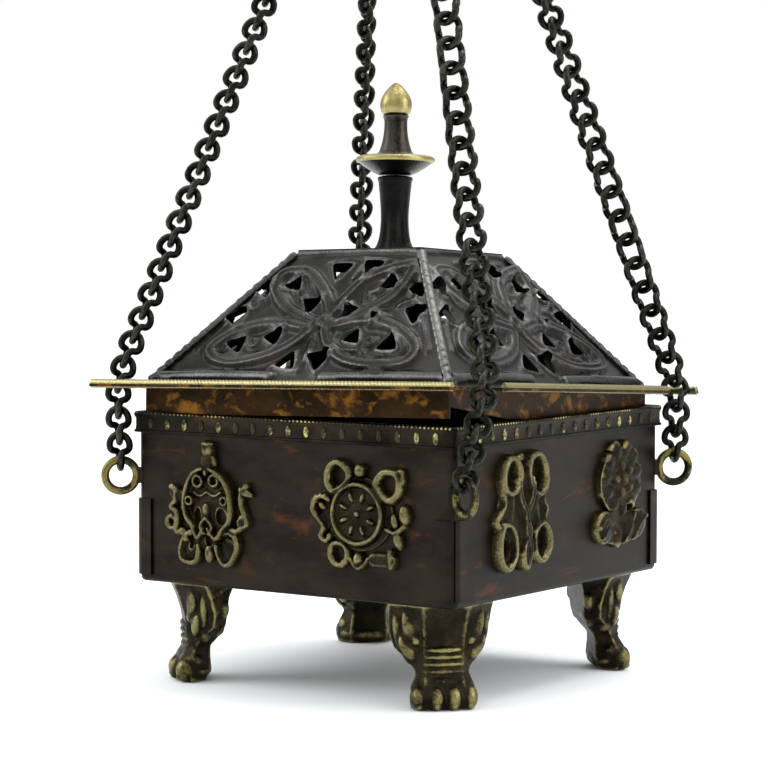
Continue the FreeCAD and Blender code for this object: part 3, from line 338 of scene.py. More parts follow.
def distance_to(path, spots):
    nearest = np.full(len(spots), 1e9)
    for start, end in zip(path, path[1:]):
        side = end - start
        share = np.clip((spots - start) @ side / max(side @ side, 1e-9), 0, 1)
        nearest = np.minimum(nearest, np.linalg.norm(spots - start - share[:, None] * side, axis=1))
    return nearest


def strand(points, width, top, groove=0.0, closed=False):
    """A rounded rib along a path; a groove splits it into two ridges."""
    path = smooth_path(points, closed)

    def shape(spots):
        gap = distance_to(path, spots)
        share = np.clip(gap / width, 0, 1)
        height = top * (SHOULDER + (1 - SHOULDER) * np.sqrt(1 - share ** 2))
        return width - gap, height - groove * np.exp(-(share / 0.32) ** 2)
    return shape


def dome(x, y, half_x, half_y, top, slant=0.0, shoulder=SHOULDER):
    """A rounded bead or petal, turned by slant degrees."""
    cosine, sine = math.cos(math.radians(slant)), math.sin(math.radians(slant))

    def shape(spots):
        east, north = spots[:, 0] - x, spots[:, 1] - y
        along, across = east * cosine + north * sine, north * cosine - east * sine
        share = np.sqrt((along / half_x) ** 2 + (across / half_y) ** 2)
        height = top * (shoulder + (1 - shoulder) * np.sqrt(np.clip(1 - share ** 2, 0, 1)))
        return (1 - share) * min(half_x, half_y), height
    return shape


def sheet(half_x, half_y, top):
    """A flat ground."""
    def shape(spots):
        inside = np.minimum(half_x - abs(spots[:, 0]), half_y - abs(spots[:, 1]))
        return inside, np.full(len(spots), top)
    return shape


def ring(x, y, radius, width, top, groove=0.0):
    around = [(x + radius * math.cos(angle), y + radius * math.sin(angle))
              for angle in np.linspace(0, 2 * math.pi, 8, endpoint=False)]
    return strand(around, width, top, groove, closed=True)


def leaf_hole(x, y, reach, slant):
    """A three-sided hole with rounded corners, and how far each spot is outside it."""
    ways = [math.radians(slant + 60 + third) for third in (0, 120, 240)]

    def outside(spots):
        sides = [(spots[:, 0] - x) * math.cos(way) + (spots[:, 1] - y) * math.sin(way) for way in ways]
        corner = 0.18 * reach
        total = sum(np.exp(side / corner) for side in sides)
        return corner * np.log(total) - 0.62 * reach
    return outside


def oval_hole(x, y, half_x, half_y, slant=0.0):
    bead = dome(x, y, half_x, half_y, 1.0, slant)
    return lambda spots: -bead(spots)[0]


# %% Casting a relief
def cast_relief(half_x, half_y, marks, holes, back, pitch, cuts=(), lip=0.0, soften=2, shift=(0, 0)):
    """A closed plate from the marks and holes, drawn on XY and rising along Z."""
    bm = bmesh.new()
    bmesh.ops.create_grid(bm, x_segments=round(2 * half_x / pitch), y_segments=round(2 * half_y / pitch),
                          size=1)
    bmesh.ops.scale(bm, vec=(half_x, half_y, 1), verts=bm.verts)
    for point, way in cuts:
        everything = bm.verts[:] + bm.edges[:] + bm.faces[:]
        bmesh.ops.bisect_plane(bm, geom=everything, dist=1e-5, plane_co=point, plane_no=way, clear_outer=True)

    def read(spots):
        spots = spots - np.array(shift)
        cover, height = np.full(len(spots), -1e9), np.full(len(spots), -1e9)
        for mark in marks:
            inside, rise = mark(spots)
            height = np.where(inside > 0, np.maximum(height, rise), height)
            cover = np.maximum(cover, inside)
        for hole in holes:
            outside = hole(spots)
            height = height + lip * np.exp(-(outside / 0.9) ** 2)
            cover = np.minimum(cover, outside)
        return cover, height

    bm.verts.index_update()
    spots = np.array([vert.co[:2] for vert in bm.verts])
    cover, _ = read(spots)
    bare = [face for face in bm.faces if sum(cover[vert.index] for vert in face.verts) < 0]
    bmesh.ops.delete(bm, geom=bare, context="FACES")
    # The cut edge is a staircase: its points slide to where the cover ends.
    rim = [vert for vert in bm.verts if vert.is_boundary]
    small = 0.25 * pitch
    here = np.array([vert.co[:2] for vert in rim])
    for _ in range(3):
        level = read(here)[0]
        slope = np.stack([(read(here + step)[0] - read(here - step)[0]) / (2 * small)
                          for step in (np.array((small, 0)), np.array((0, small)))], axis=1)
        slide = -level[:, None] * slope / np.maximum((slope ** 2).sum(axis=1), 0.2)[:, None]
        near = abs(level) < 1.5 * pitch
        length = np.linalg.norm(slide, axis=1)
        slide *= np.minimum(1, 0.8 * pitch / np.maximum(length, 1e-9))[:, None]
        here = here + np.where(near[:, None], slide, 0)
    for vert, (x, y) in zip(rim, here):
        vert.co.x, vert.co.y = x, y
    bm.verts.index_update()
    _, height = read(np.array([vert.co[:2] for vert in bm.verts]))
    missing = height < -1e8
    height[missing] = np.nan
    for vert, rise in zip(bm.verts, height):
        vert.co.z = 0.0 if math.isnan(rise) else rise
    # A point on the very edge can miss its mark by a hair, so it takes its neighbours' height.
    for vert, lost in zip(list(bm.verts), missing):
        if lost:
            found = [edge.other_vert(vert).co.z for edge in vert.link_edges if edge.other_vert(vert).co.z]
            vert.co.z = sum(found) / len(found) if found else back + 1
    for _ in range(soften):
        bmesh.ops.smooth_vert(bm, verts=bm.verts, factor=0.5, use_axis_z=True)
    front = bm.faces[:]
    extruded = bmesh.ops.extrude_face_region(bm, geom=front, use_keep_orig=True)
    for item in extruded["geom"]:
        if isinstance(item, bmesh.types.BMVert):
            item.co.z = back
    return bm


# %% [markdown]
# ## The roof
# The four roof panels come from one pattern: a crossing with four doubled loops that reach for the
# corners, small leaf-shaped holes through the ground, and a rolled foot along the flange. The real
# ones were cast from one mould, so one mesh is made, copied four times and laid on the four slopes.

# %% The roof's pattern
slope = math.atan2(ROOF_HEIGHT, ROOF_HALF - CAP_HALF)
slant_length = ROOF_HEIGHT / math.sin(slope)
lean = math.atan2(ROOF_HALF - CAP_HALF, slant_length)
hip_gap = (PANEL_THICK * math.tan(math.acos(math.cos(slope) ** 2) / 2) + 0.05) / math.cos(lean)
ROOF_GROUND = 0.1
ROOF_TOP = 2.2
LOOP = 2.1
PATTERN_SHIFT = (3.0, 1.5)
roof_marks = [
    sheet(ROOF_HALF, slant_length, ROOF_GROUND),
    # the four loops
    strand([(-6, 23), (-14, 26), (-22, 31), (-27, 37), (-27.5, 42.5), (-23.5, 44.5), (-17, 43.5), (-11, 39),
            (-5, 33), (-1, 26.5)], LOOP, ROOF_TOP, 1.0),
    strand([(-1, 26), (1.5, 33), (5, 39.5), (11, 43.5), (17.5, 45.8), (23, 47)], LOOP, ROOF_TOP, 1.0),
    strand([(2, 21.5), (9, 24), (14, 28.5), (19, 33), (21.5, 38.5), (22.5, 46)], LOOP, ROOF_TOP, 1.0),
    strand([(-6, 20.5), (-16, 22.7), (-25, 22.8), (-33, 20.3), (-38.5, 16.5), (-41, 12.3), (-38, 9), (-31, 7.2),
            (-23, 8.2), (-16, 10.7), (-10.5, 14.5), (-6, 20)], LOOP, ROOF_TOP, 1.0),
    strand([(1, 20.5), (7.5, 23), (15, 24), (22.5, 22.5), (31, 18), (36.5, 12.5), (35.5, 7.8), (28, 6.3),
            (18.5, 6.8), (10.5, 9.2), (4, 14), (0, 19.5)], LOOP, ROOF_TOP, 1.0),
    # what lies inside the loops
    strand([(-10, 24.7), (-16.5, 28.7), (-22, 34.5), (-24, 39.5), (-22, 42)], 0.75, 1.15),
    strand([(-13, 42.5), (-8, 37.5), (-3.5, 31.5), (-1, 26)], 0.8, 1.9),
    strand([(-15.5, 40), (-13, 36), (-15, 32.5)], 0.9, 1.2),
    strand([(-36, 14), (-31, 18.5), (-24.5, 20.3), (-17.5, 20.8)], 0.7, 1.1),
    strand([(-35, 10.8), (-28, 9.8), (-20, 11.6), (-14, 15)], 0.7, 1.0),
    strand([(5, 18.7), (5.6, 15), (9.5, 12), (14, 11.6)], 0.9, 1.7),
    strand([(15, 21.5), (22.5, 20.4), (28.5, 17.3), (32.5, 12.5), (31, 9.3)], 0.8, 1.2),
    strand([(17, 12.5), (21, 9.8), (25, 9.6)], 0.8, 1.3),
    strand([(4, 30), (7.5, 37), (12.5, 40.5)], 0.7, 1.1),
    strand([(7, 25.6), (12.5, 30.5), (17.5, 35)], 0.7, 1.1),
    strand([(9, 35.3), (13.3, 35.6), (14.5, 38.5)], 0.9, 1.3),
    ring(10.3, 32.3, 1.6, 0.7, 1.2), ring(-25.8, 15.2, 1.6, 0.7, 1.2), ring(18.6, 15.6, 1.8, 0.7, 1.1),
    ring(-16.4, 34.6, 1.4, 0.6, 1.2), ring(-32.8, 30.7, 2.0, 0.7, 1.1), dome(-32.8, 30.7, 0.9, 0.9, 1.1),
    # the crossing
    ring(-1.6, 23.3, 2.1, 0.9, 2.1), dome(-1.6, 23.3, 1.2, 1.2, 1.5), dome(-6.2, 21.8, 1.7, 1.3, 2.2, 30),
    # ribs between the loops and the hips
    strand([(-4, 18), (-3, 12.5), (-3.4, 4)], 1.0, 0.9), strand([(-14, 6), (-17, 3.5), (-30, 3.2)], 0.8, 0.8),
    strand([(24.5, 46), (25.5, 40), (29, 31.5), (35, 22.5), (41, 12)], 0.9, 1.0),
    strand([(-28, 46), (-31, 40.5), (-35.5, 32), (-41, 21), (-46, 12)], 0.9, 0.9),
    strand([(22.8, 29.6), (26, 31.4), (29.5, 31.6)], 0.8, 1.2),
    strand([(13, 25.9), (17.5, 27.4), (21, 25.2)], 0.7, 1.1),
    strand([(-12, 47.8), (-8, 49), (0, 49.6), (8, 49.2), (16, 48.4)], 0.7, 0.9),
    strand([(0.8, 41), (1.6, 45.5)], 1.2, 1.3),
    # borders: the cap's edge and the rolled foot, broken where it was hammered flat
    strand([(-26, 52.6), (0, 52.9), (26, 52.6)], 1.5, 0.9),
    strand([(-56, 1.5), (-40, 1.9), (-25, 1.9), (-13, 1.6)], 1.9, 1.8),
    strand([(7, 1.4), (20, 1.8), (40, 1.9), (56, 1.5)], 1.9, 1.8),
]
roof_holes = [
    leaf_hole(-5.6, 44.7, 4.3, 270), leaf_hole(6.0, 45.6, 4.3, 265), leaf_hole(-20.5, 38.7, 3.4, 80),
    leaf_hole(-10.4, 30.6, 4.0, 275), leaf_hole(5.2, 27.9, 3.4, 10), leaf_hole(15.8, 38.9, 3.9, 100),
    leaf_hole(28.0, 36.2, 4.0, 60), leaf_hole(30.6, 26.8, 4.6, 40), leaf_hole(16.6, 25.2, 2.0, 20),
    leaf_hole(11.6, 17.0, 3.4, 200), leaf_hole(25.8, 14.4, 4.0, 90), leaf_hole(2.4, 8.6, 4.8, 40),
    leaf_hole(-8.8, 7.3, 4.2, 80), leaf_hole(-18.8, 17.4, 3.8, 60), leaf_hole(-31.4, 14.2, 3.8, 300),
    leaf_hole(-37.2, 25.6, 4.6, 60), leaf_hole(-31.6, 37.0, 4.0, 60),
]

print("roof pattern:", len(roof_marks), "marks and", len(roof_holes), "holes")


# %% Cutting and placing the panels
def hip_cut(sign):
    """A cut along a hip, held back by the gap that two panels need where they meet."""
    way = Vector((sign * math.cos(lean), math.sin(lean), 0))
    return Vector((sign * (ROOF_HALF - hip_gap), 0, 0)), way


roof_cuts = [hip_cut(1), hip_cut(-1), (Vector((0, 0, 0)), Vector((0, -1, 0))),
             (Vector((0, slant_length, 0)), Vector((0, 1, 0)))]
ROOF_PITCH = 0.5
panel_mould = cast_relief(ROOF_HALF, slant_length, roof_marks, roof_holes, -PANEL_THICK, ROOF_PITCH, roof_cuts,
                          lip=0.8, soften=3, shift=PATTERN_SHIFT)
for side, degrees in SIDES.items():
    panel_place = LID @ turn(degrees) @ move(0, -ROOF_HALF, FLANGE_THICK) @ turn(math.degrees(slope), "X")
    finish_piece(f"roof_casting_{side}", panel_mould.copy(), roof_casting, "lid", panel_place,
                 [f"roof_panel_{side}"], wear_depth=0.4, passes=16)
panel_mould.free()

# %% [markdown]
# ## Emblems
# Each wall carries two cast emblems. The two that face the front and the two on the right are a
# vase, a wheel, a pair of fish and a lotus; the other four are a parasol, a conch, a knot and a
# banner of the same family. They could be sculpted by hand, but strands, petals and beads are
# enough to draw them, and the roof's casting tool then gives them the same soft edges.

# %% Emblem heights and helpers
HIGH, MID, LOW = 3.6, 2.6, 1.6
RIB = 0.95


def petals(x, y, radius, count, half_x, half_y, top, start=0.0):
    """Beads set around a centre, each pointing outwards."""
    marks = []
    for index in range(count):
        angle = start + 360 * index / count
        way = math.radians(angle)
        marks.append(dome(x + radius * math.cos(way), y + radius * math.sin(way), half_x, half_y, top, angle))
    return marks


def both_ways(points):
    """The points and their mirror image across the emblem's middle."""
    return [points, [(-x, y) for x, y in points]]


# %% Emblems of the front and right walls
vase_marks = [
    dome(0, 1, 8.6, 9.5, LOW), dome(0, -9, 5.5, 6.5, LOW), dome(0, 12.2, 3.0, 3.4, MID),
    dome(0, 16.6, 2.0, 2.8, HIGH),
    dome(0.2, 18.4, 2.4, 0.9, HIGH), dome(0, -2.2, 1.7, 2.6, HIGH), dome(0.3, -15.8, 1.6, 3.0, MID),
    strand([(-1.5, 10.5), (-4.8, 9), (-7.6, 5), (-8.6, 0), (-7.8, -4.5), (-5.4, -7.4), (-3.2, -11), (-1, -8)],
           RIB, HIGH),
    strand([(1.5, 10.5), (5, 8.8), (8.2, 5), (9.4, 0), (9, -5), (6.4, -8.2), (3.8, -11), (1, -8)], RIB, HIGH),
    strand([(-5.5, -9), (-8.6, -10.6), (-10.6, -14), (-10.4, -17.8), (-7, -19), (-4.4, -18), (-3.6, -13.5)],
           RIB, MID), dome(-7.4, -15.4, 2.6, 2.8, LOW),
    strand([(6, -9.4), (8.6, -9), (10.8, -10.6), (11.2, -14), (9, -18), (6.6, -19), (4.4, -16.6), (3.4, -13.4)],
           RIB, MID), dome(7.4, -14.4, 2.8, 3.6, LOW),
    strand([(-14.6, 4.2), (-12.8, 3.4), (-13, 0), (-14.6, -2), (-12.2, -4.2), (-12.4, -9.6), (-9.6, -9.4),
            (-8.6, -12)], RIB, MID), ring(-14.3, -6.8, 1.9, 0.9, MID), dome(-12.6, 1.6, 1.9, 3.4, LOW, 75),
    strand([(15, 6), (13, 3), (13.2, -0.5), (14.2, -3), (13.4, -6.6), (11, -8.4), (9, -8)], RIB, MID),
    ring(13.8, -5.4, 1.5, 0.8, MID), dome(14.4, 3.8, 1.3, 3.0, MID, 72),
    ring(-3.0, 6.6, 1.7, 0.75, HIGH), ring(3.3, 7.0, 1.7, 0.75, HIGH), ring(-6.4, 0.4, 1.2, 0.7, HIGH),
    ring(7.2, 0.9, 1.2, 0.7, HIGH), dome(0, 9.4, 1.2, 1.6, HIGH),
    strand([(-5, 3), (-2.6, 2), (0, 3.4)], 0.7, MID),
    strand([(5.4, 3.4), (2.8, 2.2), (0, 3.4)], 0.7, MID),
    strand([(0, -4.8), (-2, -7.4), (0.5, -10), (2.6, -7.6),
                                                                 (0.4, -4.8)], 0.75, HIGH)]
vase_holes = [oval_hole(4.9, -4.2, 1.9, 2.7), oval_hole(-4.1, -4.6, 1.4, 2.9), oval_hole(0.5, -11.6, 1.7, 2.0),
              oval_hole(-6.6, -13.4, 0.8, 1.5)]
wheel_marks = [
    dome(0, 0, 9.2, 9.6, 2.0, shoulder=0.9), ring(0, 0, 8.9, 1.05, HIGH),
    *petals(0, 0, 5.3, 8, 2.0, 0.95, HIGH, 22.5),
    dome(0, 0, 1.3, 1.3, HIGH), dome(0, 0, 12, 11, 1.2, shoulder=0.9),
    strand([(-4, 9.2), (-8.6, 6.4), (-11.2, 9), (-10.6, 13.4), (-7.2, 15.2), (-3.6, 12.6)], 1.25, 3.3,
           closed=True),
    strand([(6.6, 9.4), (9, 12.6), (12.8, 13), (14.8, 11.4), (14.6, 7), (11.8, 4.6), (8.6, 6)], 1.35, 3.3,
           closed=True),
    strand([(13.2, 12.6), (15.6, 13.4), (15.8, 10)], 0.9, MID), dome(0.6, 13, 1.9, 2.3, HIGH),
    strand([(-10.4, 3.6), (-13.6, 4.6), (-16.4, 3), (-16.6, 0), (-14.4, -2.4), (-12.6, -4.6), (-13.8, -7.4),
            (-11.6, -8.8), (-10.4, -7)], 0.95, 3.0), dome(-13.2, 1.6, 1.2, 2.0, MID, 60),
            dome(-12, -0.8, 2.4, 4.4, LOW),
    strand([(-9.4, -9.6), (-10.6, -12.6), (-9, -15.4), (-6, -15.6), (-4.2, -12.8), (-5.4, -9.6)], 1.0, MID,
           closed=True),
    dome(0, -13.6, 1.6, 2.2, HIGH), strand([(-3.6, -13.2), (0, -16.4), (3.6, -13.2)], 0.7, MID),
    strand([(5.6, -13.4), (11.2, -13.4)], 2.3, 2.8), strand([(11.8, -10.2), (12.4, -15.6)], 0.7, HIGH),
    dome(16.6, 0.6, 1.8, 3.1, 3.2, 8), dome(12.8, -1.6, 1.2, 2.4, MID, 12), dome(14.2, -7.2, 1.5, 2.8, 3.0, 20),
    strand([(10, -4), (13, -5), (16.4, -3)], 0.8, MID)]
wheel_holes = [oval_hole(-7.5, 10.8, 1.9, 2.6, -15), oval_hole(10.6, 8.6, 1.8, 2.7, 25),
               oval_hole(-7.2, -12.6, 1.6, 1.9)]
fish_marks = [
    strand([(-10.6, 7), (-11.4, 12), (-8.6, 16), (-5, 15.8), (-2.4, 12.4), (-3.4, 7.6), (-7, 5.6)], 1.2, 3.3,
           closed=True),
    strand([(2.4, 12), (4.4, 16), (9, 16.4), (12.2, 12), (12, 6.4), (8.4, 4.4), (4, 6.6)], 1.2, 3.3,
           closed=True),
    strand([(-11.6, -4), (-13.4, -9), (-12.6, -14.4), (-8.8, -17), (-5.2, -13.6), (-5.2, -8), (-7.8, -4.2)],
           1.2, 3.3,
           closed=True),
    strand([(6, -7), (10, -4.4), (13.8, -7), (14.6, -12), (10.8, -16), (7, -14.4), (5.4, -10.6)], 1.2, 3.3,
           closed=True),
    strand([(-3.4, 9), (-2.6, 4), (0.6, -1), (1, -6.6), (3.2, -12), (1.2, -17)], 1.5, HIGH, 0.6),
    strand([(4.6, 9), (3.8, 3.6), (0.4, -1.4), (2.6, -6.6), (0.2, -11.6), (0.6, -16.4)], 1.5, HIGH, 0.6),
    strand([(-11, 7), (-10.4, 2.6), (-12.8, -0.6), (-14.6, -2.4), (-12.4, -5)], 1.0, MID),
    strand([(12, 7), (11.4, 2.6), (13.2, -0.4), (12, -3.4), (13.4, -6.6)], 1.0, MID),
    strand([(-6.4, 5.4), (-6.4, 1), (-8, -3.6)], 1.3, MID), strand([(7.6, 4.2), (7, 0.4), (8.6, -4)], 1.3, MID),
    dome(-6, 1, 6.6, 6.6, LOW), dome(7, 0, 6.2, 6.8, LOW), dome(0, 0, 5, 14, LOW), dome(-8, -8, 4.6, 7, 1.0),
    dome(0, 16, 2.4, 1.2, LOW)]
fish_holes = [oval_hole(-6.6, 11.4, 1.7, 2.9, 8), oval_hole(6.8, 10.6, 2.3, 3.1, -8),
              oval_hole(-9, -10.6, 1.7, 3.1, 4),
              oval_hole(10, -10.4, 1.9, 3.0, -8)]
lotus_marks = [
    dome(0, 4.4, 12.4, 10.6, 2.2, shoulder=0.8), dome(0, -10, 14.5, 5.6, 1.8, shoulder=0.8),
    *petals(0.6, 5.4, 9.4, 11, 3.1, 2.3, 3.1, 10), *petals(0.6, 5.4, 4.4, 5, 2.4, 2.0, HIGH, 36),
    dome(0.6, 5.4, 2.2, 2.6, 4.0), dome(-3.4, 15.6, 3.6, 1.8, MID, 10), dome(5, 15.2, 2.4, 1.6, MID, -20),
    dome(-9.8, -9.6, 5.6, 5.2, 3.4, 30), strand([(-14, -9.6), (-10, -6.4), (-6, -8.4)], 1.0, 3.3),
    strand([(-12.4, -13), (-9.4, -9.6), (-5.6, -11.6)], 0.8, 3.7), dome(4.4, -11, 4.2, 4.6, 3.2, -30),
    dome(11.2, -9.8, 4.4, 5.2, 3.1, -40), strand([(7, -14.4), (10.8, -9.6), (15, -7.6)], 0.8, 3.5),
    strand([(1, -15), (4.4, -10.6), (7.4, -6.4)], 0.8, 3.5), dome(-1.4, -12.4, 2.4, 4.4, 2.8)]
lotus_holes = [oval_hole(4.6, -4.3, 1.4, 1.4)]

# %% Emblems of the back and left walls
parasol_marks = [
    dome(0, 6.4, 14.6, 8.6, LOW, shoulder=0.8),
    strand([(-14.6, 1.6), (-12, 9.6), (0, 15), (12, 9.6), (14.6, 1.6)], 1.2, 3.2),
    strand([(-14.8, 1.4), (-10, -1), (-5, 1.4), (0, -1), (5, 1.4), (10, -1), (14.8, 1.4)], 1.2, 3.2),
    *[strand([(0, 14), (x * 0.6, 8), (x, 1)], 0.8, MID) for x in (-10, -5, 0, 5, 10)],
    dome(0, 16.6, 1.7, 2.2, HIGH), strand([(0, 0), (0, -15)], 1.1, HIGH), dome(0, -16, 2.0, 2.4, 3.2),
    *[strand(points, 0.9, MID) for points in both_ways([(7, -1), (9.6, -6), (7.6, -10), (3.4, -9), (1, -12)])]]
conch_marks = [
    dome(-1, 1, 11.6, 13.4, LOW, 20, 0.8),
    strand([(1, 16), (9, 12.6), (13.2, 4), (10.4, -6), (2, -12), (-5, -16)], 1.3, 3.2),
    strand([(1, 16), (-7.6, 13), (-12.4, 4.6), (-10, -4), (-5, -9), (-5, -16)], 1.3, 3.2),
    strand([(7.6, 9), (0, 11), (-7, 6), (-6, -1.6), (0.4, -4), (4.6, 0.6), (1, 4.4), (-2, 2)], 1.2, HIGH),
    *[strand(points, 0.8, MID) for points in both_ways([(9, -8), (13.6, -9.6), (14.4, -13.6), (10.4, -14)])]]
knot_marks = [
    *[strand([(a, b), (-b, a), (-a, -b), (b, -a)], 1.2, 3.2, closed=True) for a,
      b in ((0, 15), (0, 9), (0, 4))],
    *[strand(points, 1.1,
             HIGH) for points in both_ways([(-11, 3.4), (-3.6, 11), (0, 7.6), (7.4, 0.2), (11, -3.4)])],
    *[strand(points, 1.1, HIGH) for points in both_ways([(-11, -3.4), (-3.6, -11), (0, -7.6)])],
    dome(0, 0, 13, 13, 1.2), dome(0, 17.4, 1.7, 2.0, HIGH), dome(0, -17.4, 1.7, 2.0, HIGH)]
banner_marks = [
    dome(0, 15, 3.0, 3.2, MID), strand([(-9.6, 10.6), (0, 13), (9.6, 10.6)], 1.3, HIGH),
    dome(0, -1, 10.4, 14.6, LOW, 0, 0.8),
    *[strand([(-9.4, y), (0, y - 1.6), (9.4, y)], 1.1, 3.2) for y in (6.4, 1.4, -3.6, -8.4)],
    *[strand(points, 1.1,
             MID) for points in both_ways([(10, 10), (11.4, 2), (9.8, -6), (10.6, -12), (6.6, -16)])],
    *petals(0, -13.6, 3.4, 5, 2.2, 1.2, MID, 198)]
print("emblem marks:", sum(len(marks) for marks in (vase_marks, wheel_marks, fish_marks, lotus_marks)))

# %% Which emblem goes where
EMBLEMS = {
    "front": (("vase", -30.5, vase_marks, vase_holes), ("wheel", 27.0, wheel_marks, wheel_holes)),
    "right": (("fish", -24.9, fish_marks, fish_holes), ("lotus", 33.1, lotus_marks, lotus_holes)),
    "back": (("parasol", -30.5, parasol_marks, [oval_hole(4.6, -5, 1.2, 1.8), oval_hole(-4.6, -5, 1.2, 1.8)]),
             ("conch", 27.0, conch_marks, [oval_hole(6.6, 1.4, 1.1, 2.4)])),
    "left": (("knot", -30.5, knot_marks, [oval_hole(0, 0, 1.2, 1.2)]),
             ("banner", 27.0, banner_marks, [oval_hole(0, -15.6, 1.0, 1.2)]))}

# %% Casting the emblems
EMBLEM_LEVEL = 58.3
EMBLEM_PITCH = 0.32
for side, pair in EMBLEMS.items():
    for kind, offset, marks, holes in pair:
        emblem = cast_relief(18, 21, marks, holes, 0.0, EMBLEM_PITCH, soften=1)
        emblem_place = turn(SIDES[side]) @ move(offset, -HALF_BOX, EMBLEM_LEVEL) @ turn(90, "X")
        finish_piece(f"emblem_casting_{kind}", emblem, cast_emblems, "censer", emblem_place,
                     [f"emblem_{kind}"], wear_depth=0.5, passes=14)

# %% [markdown]
# ## The rim band
# A rolled band runs round the mouth of the box: a row of tiny round beads along its top edge over
# upright ovals that hands have polished. The band itself is a rounded square that is extruded and
# bevelled, and the beads are low spheres set at even steps along it.

# %% The rim band
BAND_HEIGHT = 6.6
OVAL_STEP = 6.75
BEAD_STEP = 1.5


def square_loop(bm, half, radius, level):
    """Draws a closed square of edges with rounded corners and returns the edges."""
    made = bmesh.ops.create_circle(bm, segments=4, radius=half * math.sqrt(2), cap_ends=False)
    bmesh.ops.rotate(bm, verts=made["verts"], cent=(0, 0, 0), matrix=Matrix.Rotation(math.pi / 4, 3, "Z"))
    bmesh.ops.translate(bm, verts=made["verts"], vec=(0, 0, level))
    bmesh.ops.bevel(bm, geom=made["verts"], offset=radius, segments=6, profile=0.5, affect="VERTICES",
                    material=-1)
    return [edge for edge in bm.edges if edge.is_wire]


band = bmesh.new()
profile = [(0.9, 0.0), (1.1, 0.15), (1.1, 0.75), (0.8, 0.95), (0.7, 2.0), (0.7, 4.4), (0.9, 4.9), (1.1, 5.3),
           (1.1, 5.9), (0.9, 6.4), (0.5, BAND_HEIGHT)]
loop = square_loop(band, HALF_BOX, 1.2, RIM_LEVEL - BAND_HEIGHT)
previous, level = 0.0, 0.0
for out, height in profile + [(0.0, BAND_HEIGHT)]:
    made = bmesh.ops.extrude_edge_only(band, edges=loop)["geom"]
    loop = [item for item in made if isinstance(item, bmesh.types.BMEdge)]
    points = [item for item in made if isinstance(item, bmesh.types.BMVert)]
    grow = (HALF_BOX + out) / (HALF_BOX + previous)
    bmesh.ops.scale(band, vec=(grow, grow, 1), verts=points)
    bmesh.ops.translate(band, vec=(0, 0, height - level), verts=points)
    previous, level = out, height
bmesh.ops.bridge_loops(band, edges=[edge for edge in band.edges if edge.is_boundary])
finish_piece("rolled_rim_band", band, beaded_band, "censer", stands_for=["rim_band"],
             wear_depth=9.0,
             passes=1)
ovals, pearls = bmesh.new(), bmesh.new()
for side, degrees in SIDES.items():
    for index in range(-8, 9):
        place = turn(degrees) @ move(index * OVAL_STEP, -HALF_BOX - 0.6, RIM_LEVEL - 3.65)
        bmesh.ops.create_uvsphere(ovals, u_segments=12, v_segments=8, radius=1,
                                  matrix=place @ Matrix.Diagonal((1.05, 0.7, 1.95, 1)))
    count = round(2 * HALF_BOX / BEAD_STEP)
    for index in range(count):
        place = turn(degrees) @ move((index + 0.5 - count / 2) * BEAD_STEP, -HALF_BOX - 0.85, RIM_LEVEL - 0.5)
        bmesh.ops.create_icosphere(pearls, subdivisions=1, radius=0.5, matrix=place)
finish_piece("rim_ovals", ovals, band_beads, "censer", wear_depth=0.6, passes=1)
finish_piece("rim_pearls", pearls, band_beads, "censer", wear_depth=1.0, passes=1)

# %% [markdown]
# ## Rope-milled strips and hip mouldings
# The lid's edge wears a thin brass strip milled like a rope, and each hip a bead-and-notch
# moulding. Both are bars drawn ring by ring: a small circle is extruded along its length, and
# each ring is turned or swollen a little more than the last.

# %% Ring-by-ring bars
ROPE_DEPTH = 0.09
ROPE_STRANDS = 4


def bar(length, sides, pitch, ring_shape):
    """A bar along Z from 0 to length; ring_shape(z) gives each ring's half sizes and its turn."""
    bm = bmesh.new()
    made = bmesh.ops.create_circle(bm, segments=sides, radius=1, cap_ends=False)
    rows = [made["verts"]]
    edges = bm.edges[:]
    steps = max(2, round(length / pitch))
    for index in range(steps):
        made = bmesh.ops.extrude_edge_only(bm, edges=edges)["geom"]
        edges = [item for item in made if isinstance(item, bmesh.types.BMEdge)]
        rows.append([item for item in made if isinstance(item, bmesh.types.BMVert)])
    for index, row in enumerate(rows):
        z = length * index / steps
        half_x, half_y, twist = ring_shape(z)
        place = move(0, 0, z) @ Matrix.Diagonal((half_x, half_y, 1, 1))
        for vert in row:
            angle = math.atan2(vert.co.y, vert.co.x)
            swell = 1 + ROPE_DEPTH * math.cos(ROPE_STRANDS * (angle - twist)) if twist is not None else 1
            vert.co = place @ Vector((math.cos(angle) * swell, math.sin(angle) * swell, 0))
    for row in (rows[0], rows[-1]):
        bmesh.ops.contextual_create(bm, geom=row)
    return bm


# %% Rope-milled strips
ROPE_LEAD = 5.4
ROPE_INSET = 1.3
EDGE_STRIPS = {"front": (70.2, 66.2), "right": (45.7, 51.2), "back": (70.2, 70.2), "left": (68.4, 68.4)}
for side, (left, right) in EDGE_STRIPS.items():
    rope = bar(left + right, 16, 0.4, lambda z: (1.0, 1.35, 2 * math.pi * z / ROPE_LEAD))
    along = move(-left, -FLANGE_HALF + ROPE_INSET, FLANGE_THICK * 0.5 + 0.55) @ turn(90, "Y") @ turn(90)
    finish_piece(f"rope_edge_{side}", rope, edge_brass, "lid", LID @ turn(SIDES[side]) @ along,
                 [f"edge_strip_{side}"], wear_depth=0.12, passes=3)

# %% Hip mouldings
HIP_STEP = 3.4
hip_base = Vector((ROOF_HALF, -ROOF_HALF, FLANGE_THICK))
hip_top = Vector((CAP_HALF, -CAP_HALF, FLANGE_THICK + ROOF_HEIGHT))
hip_way = (hip_top - hip_base).normalized()
hip_out = Vector((math.sin(slope), -math.sin(slope), 2 * math.cos(slope))).normalized()
hip_out = (hip_out - hip_way * hip_out.dot(hip_way)).normalized()
hip_side = hip_out.cross(hip_way).normalized()


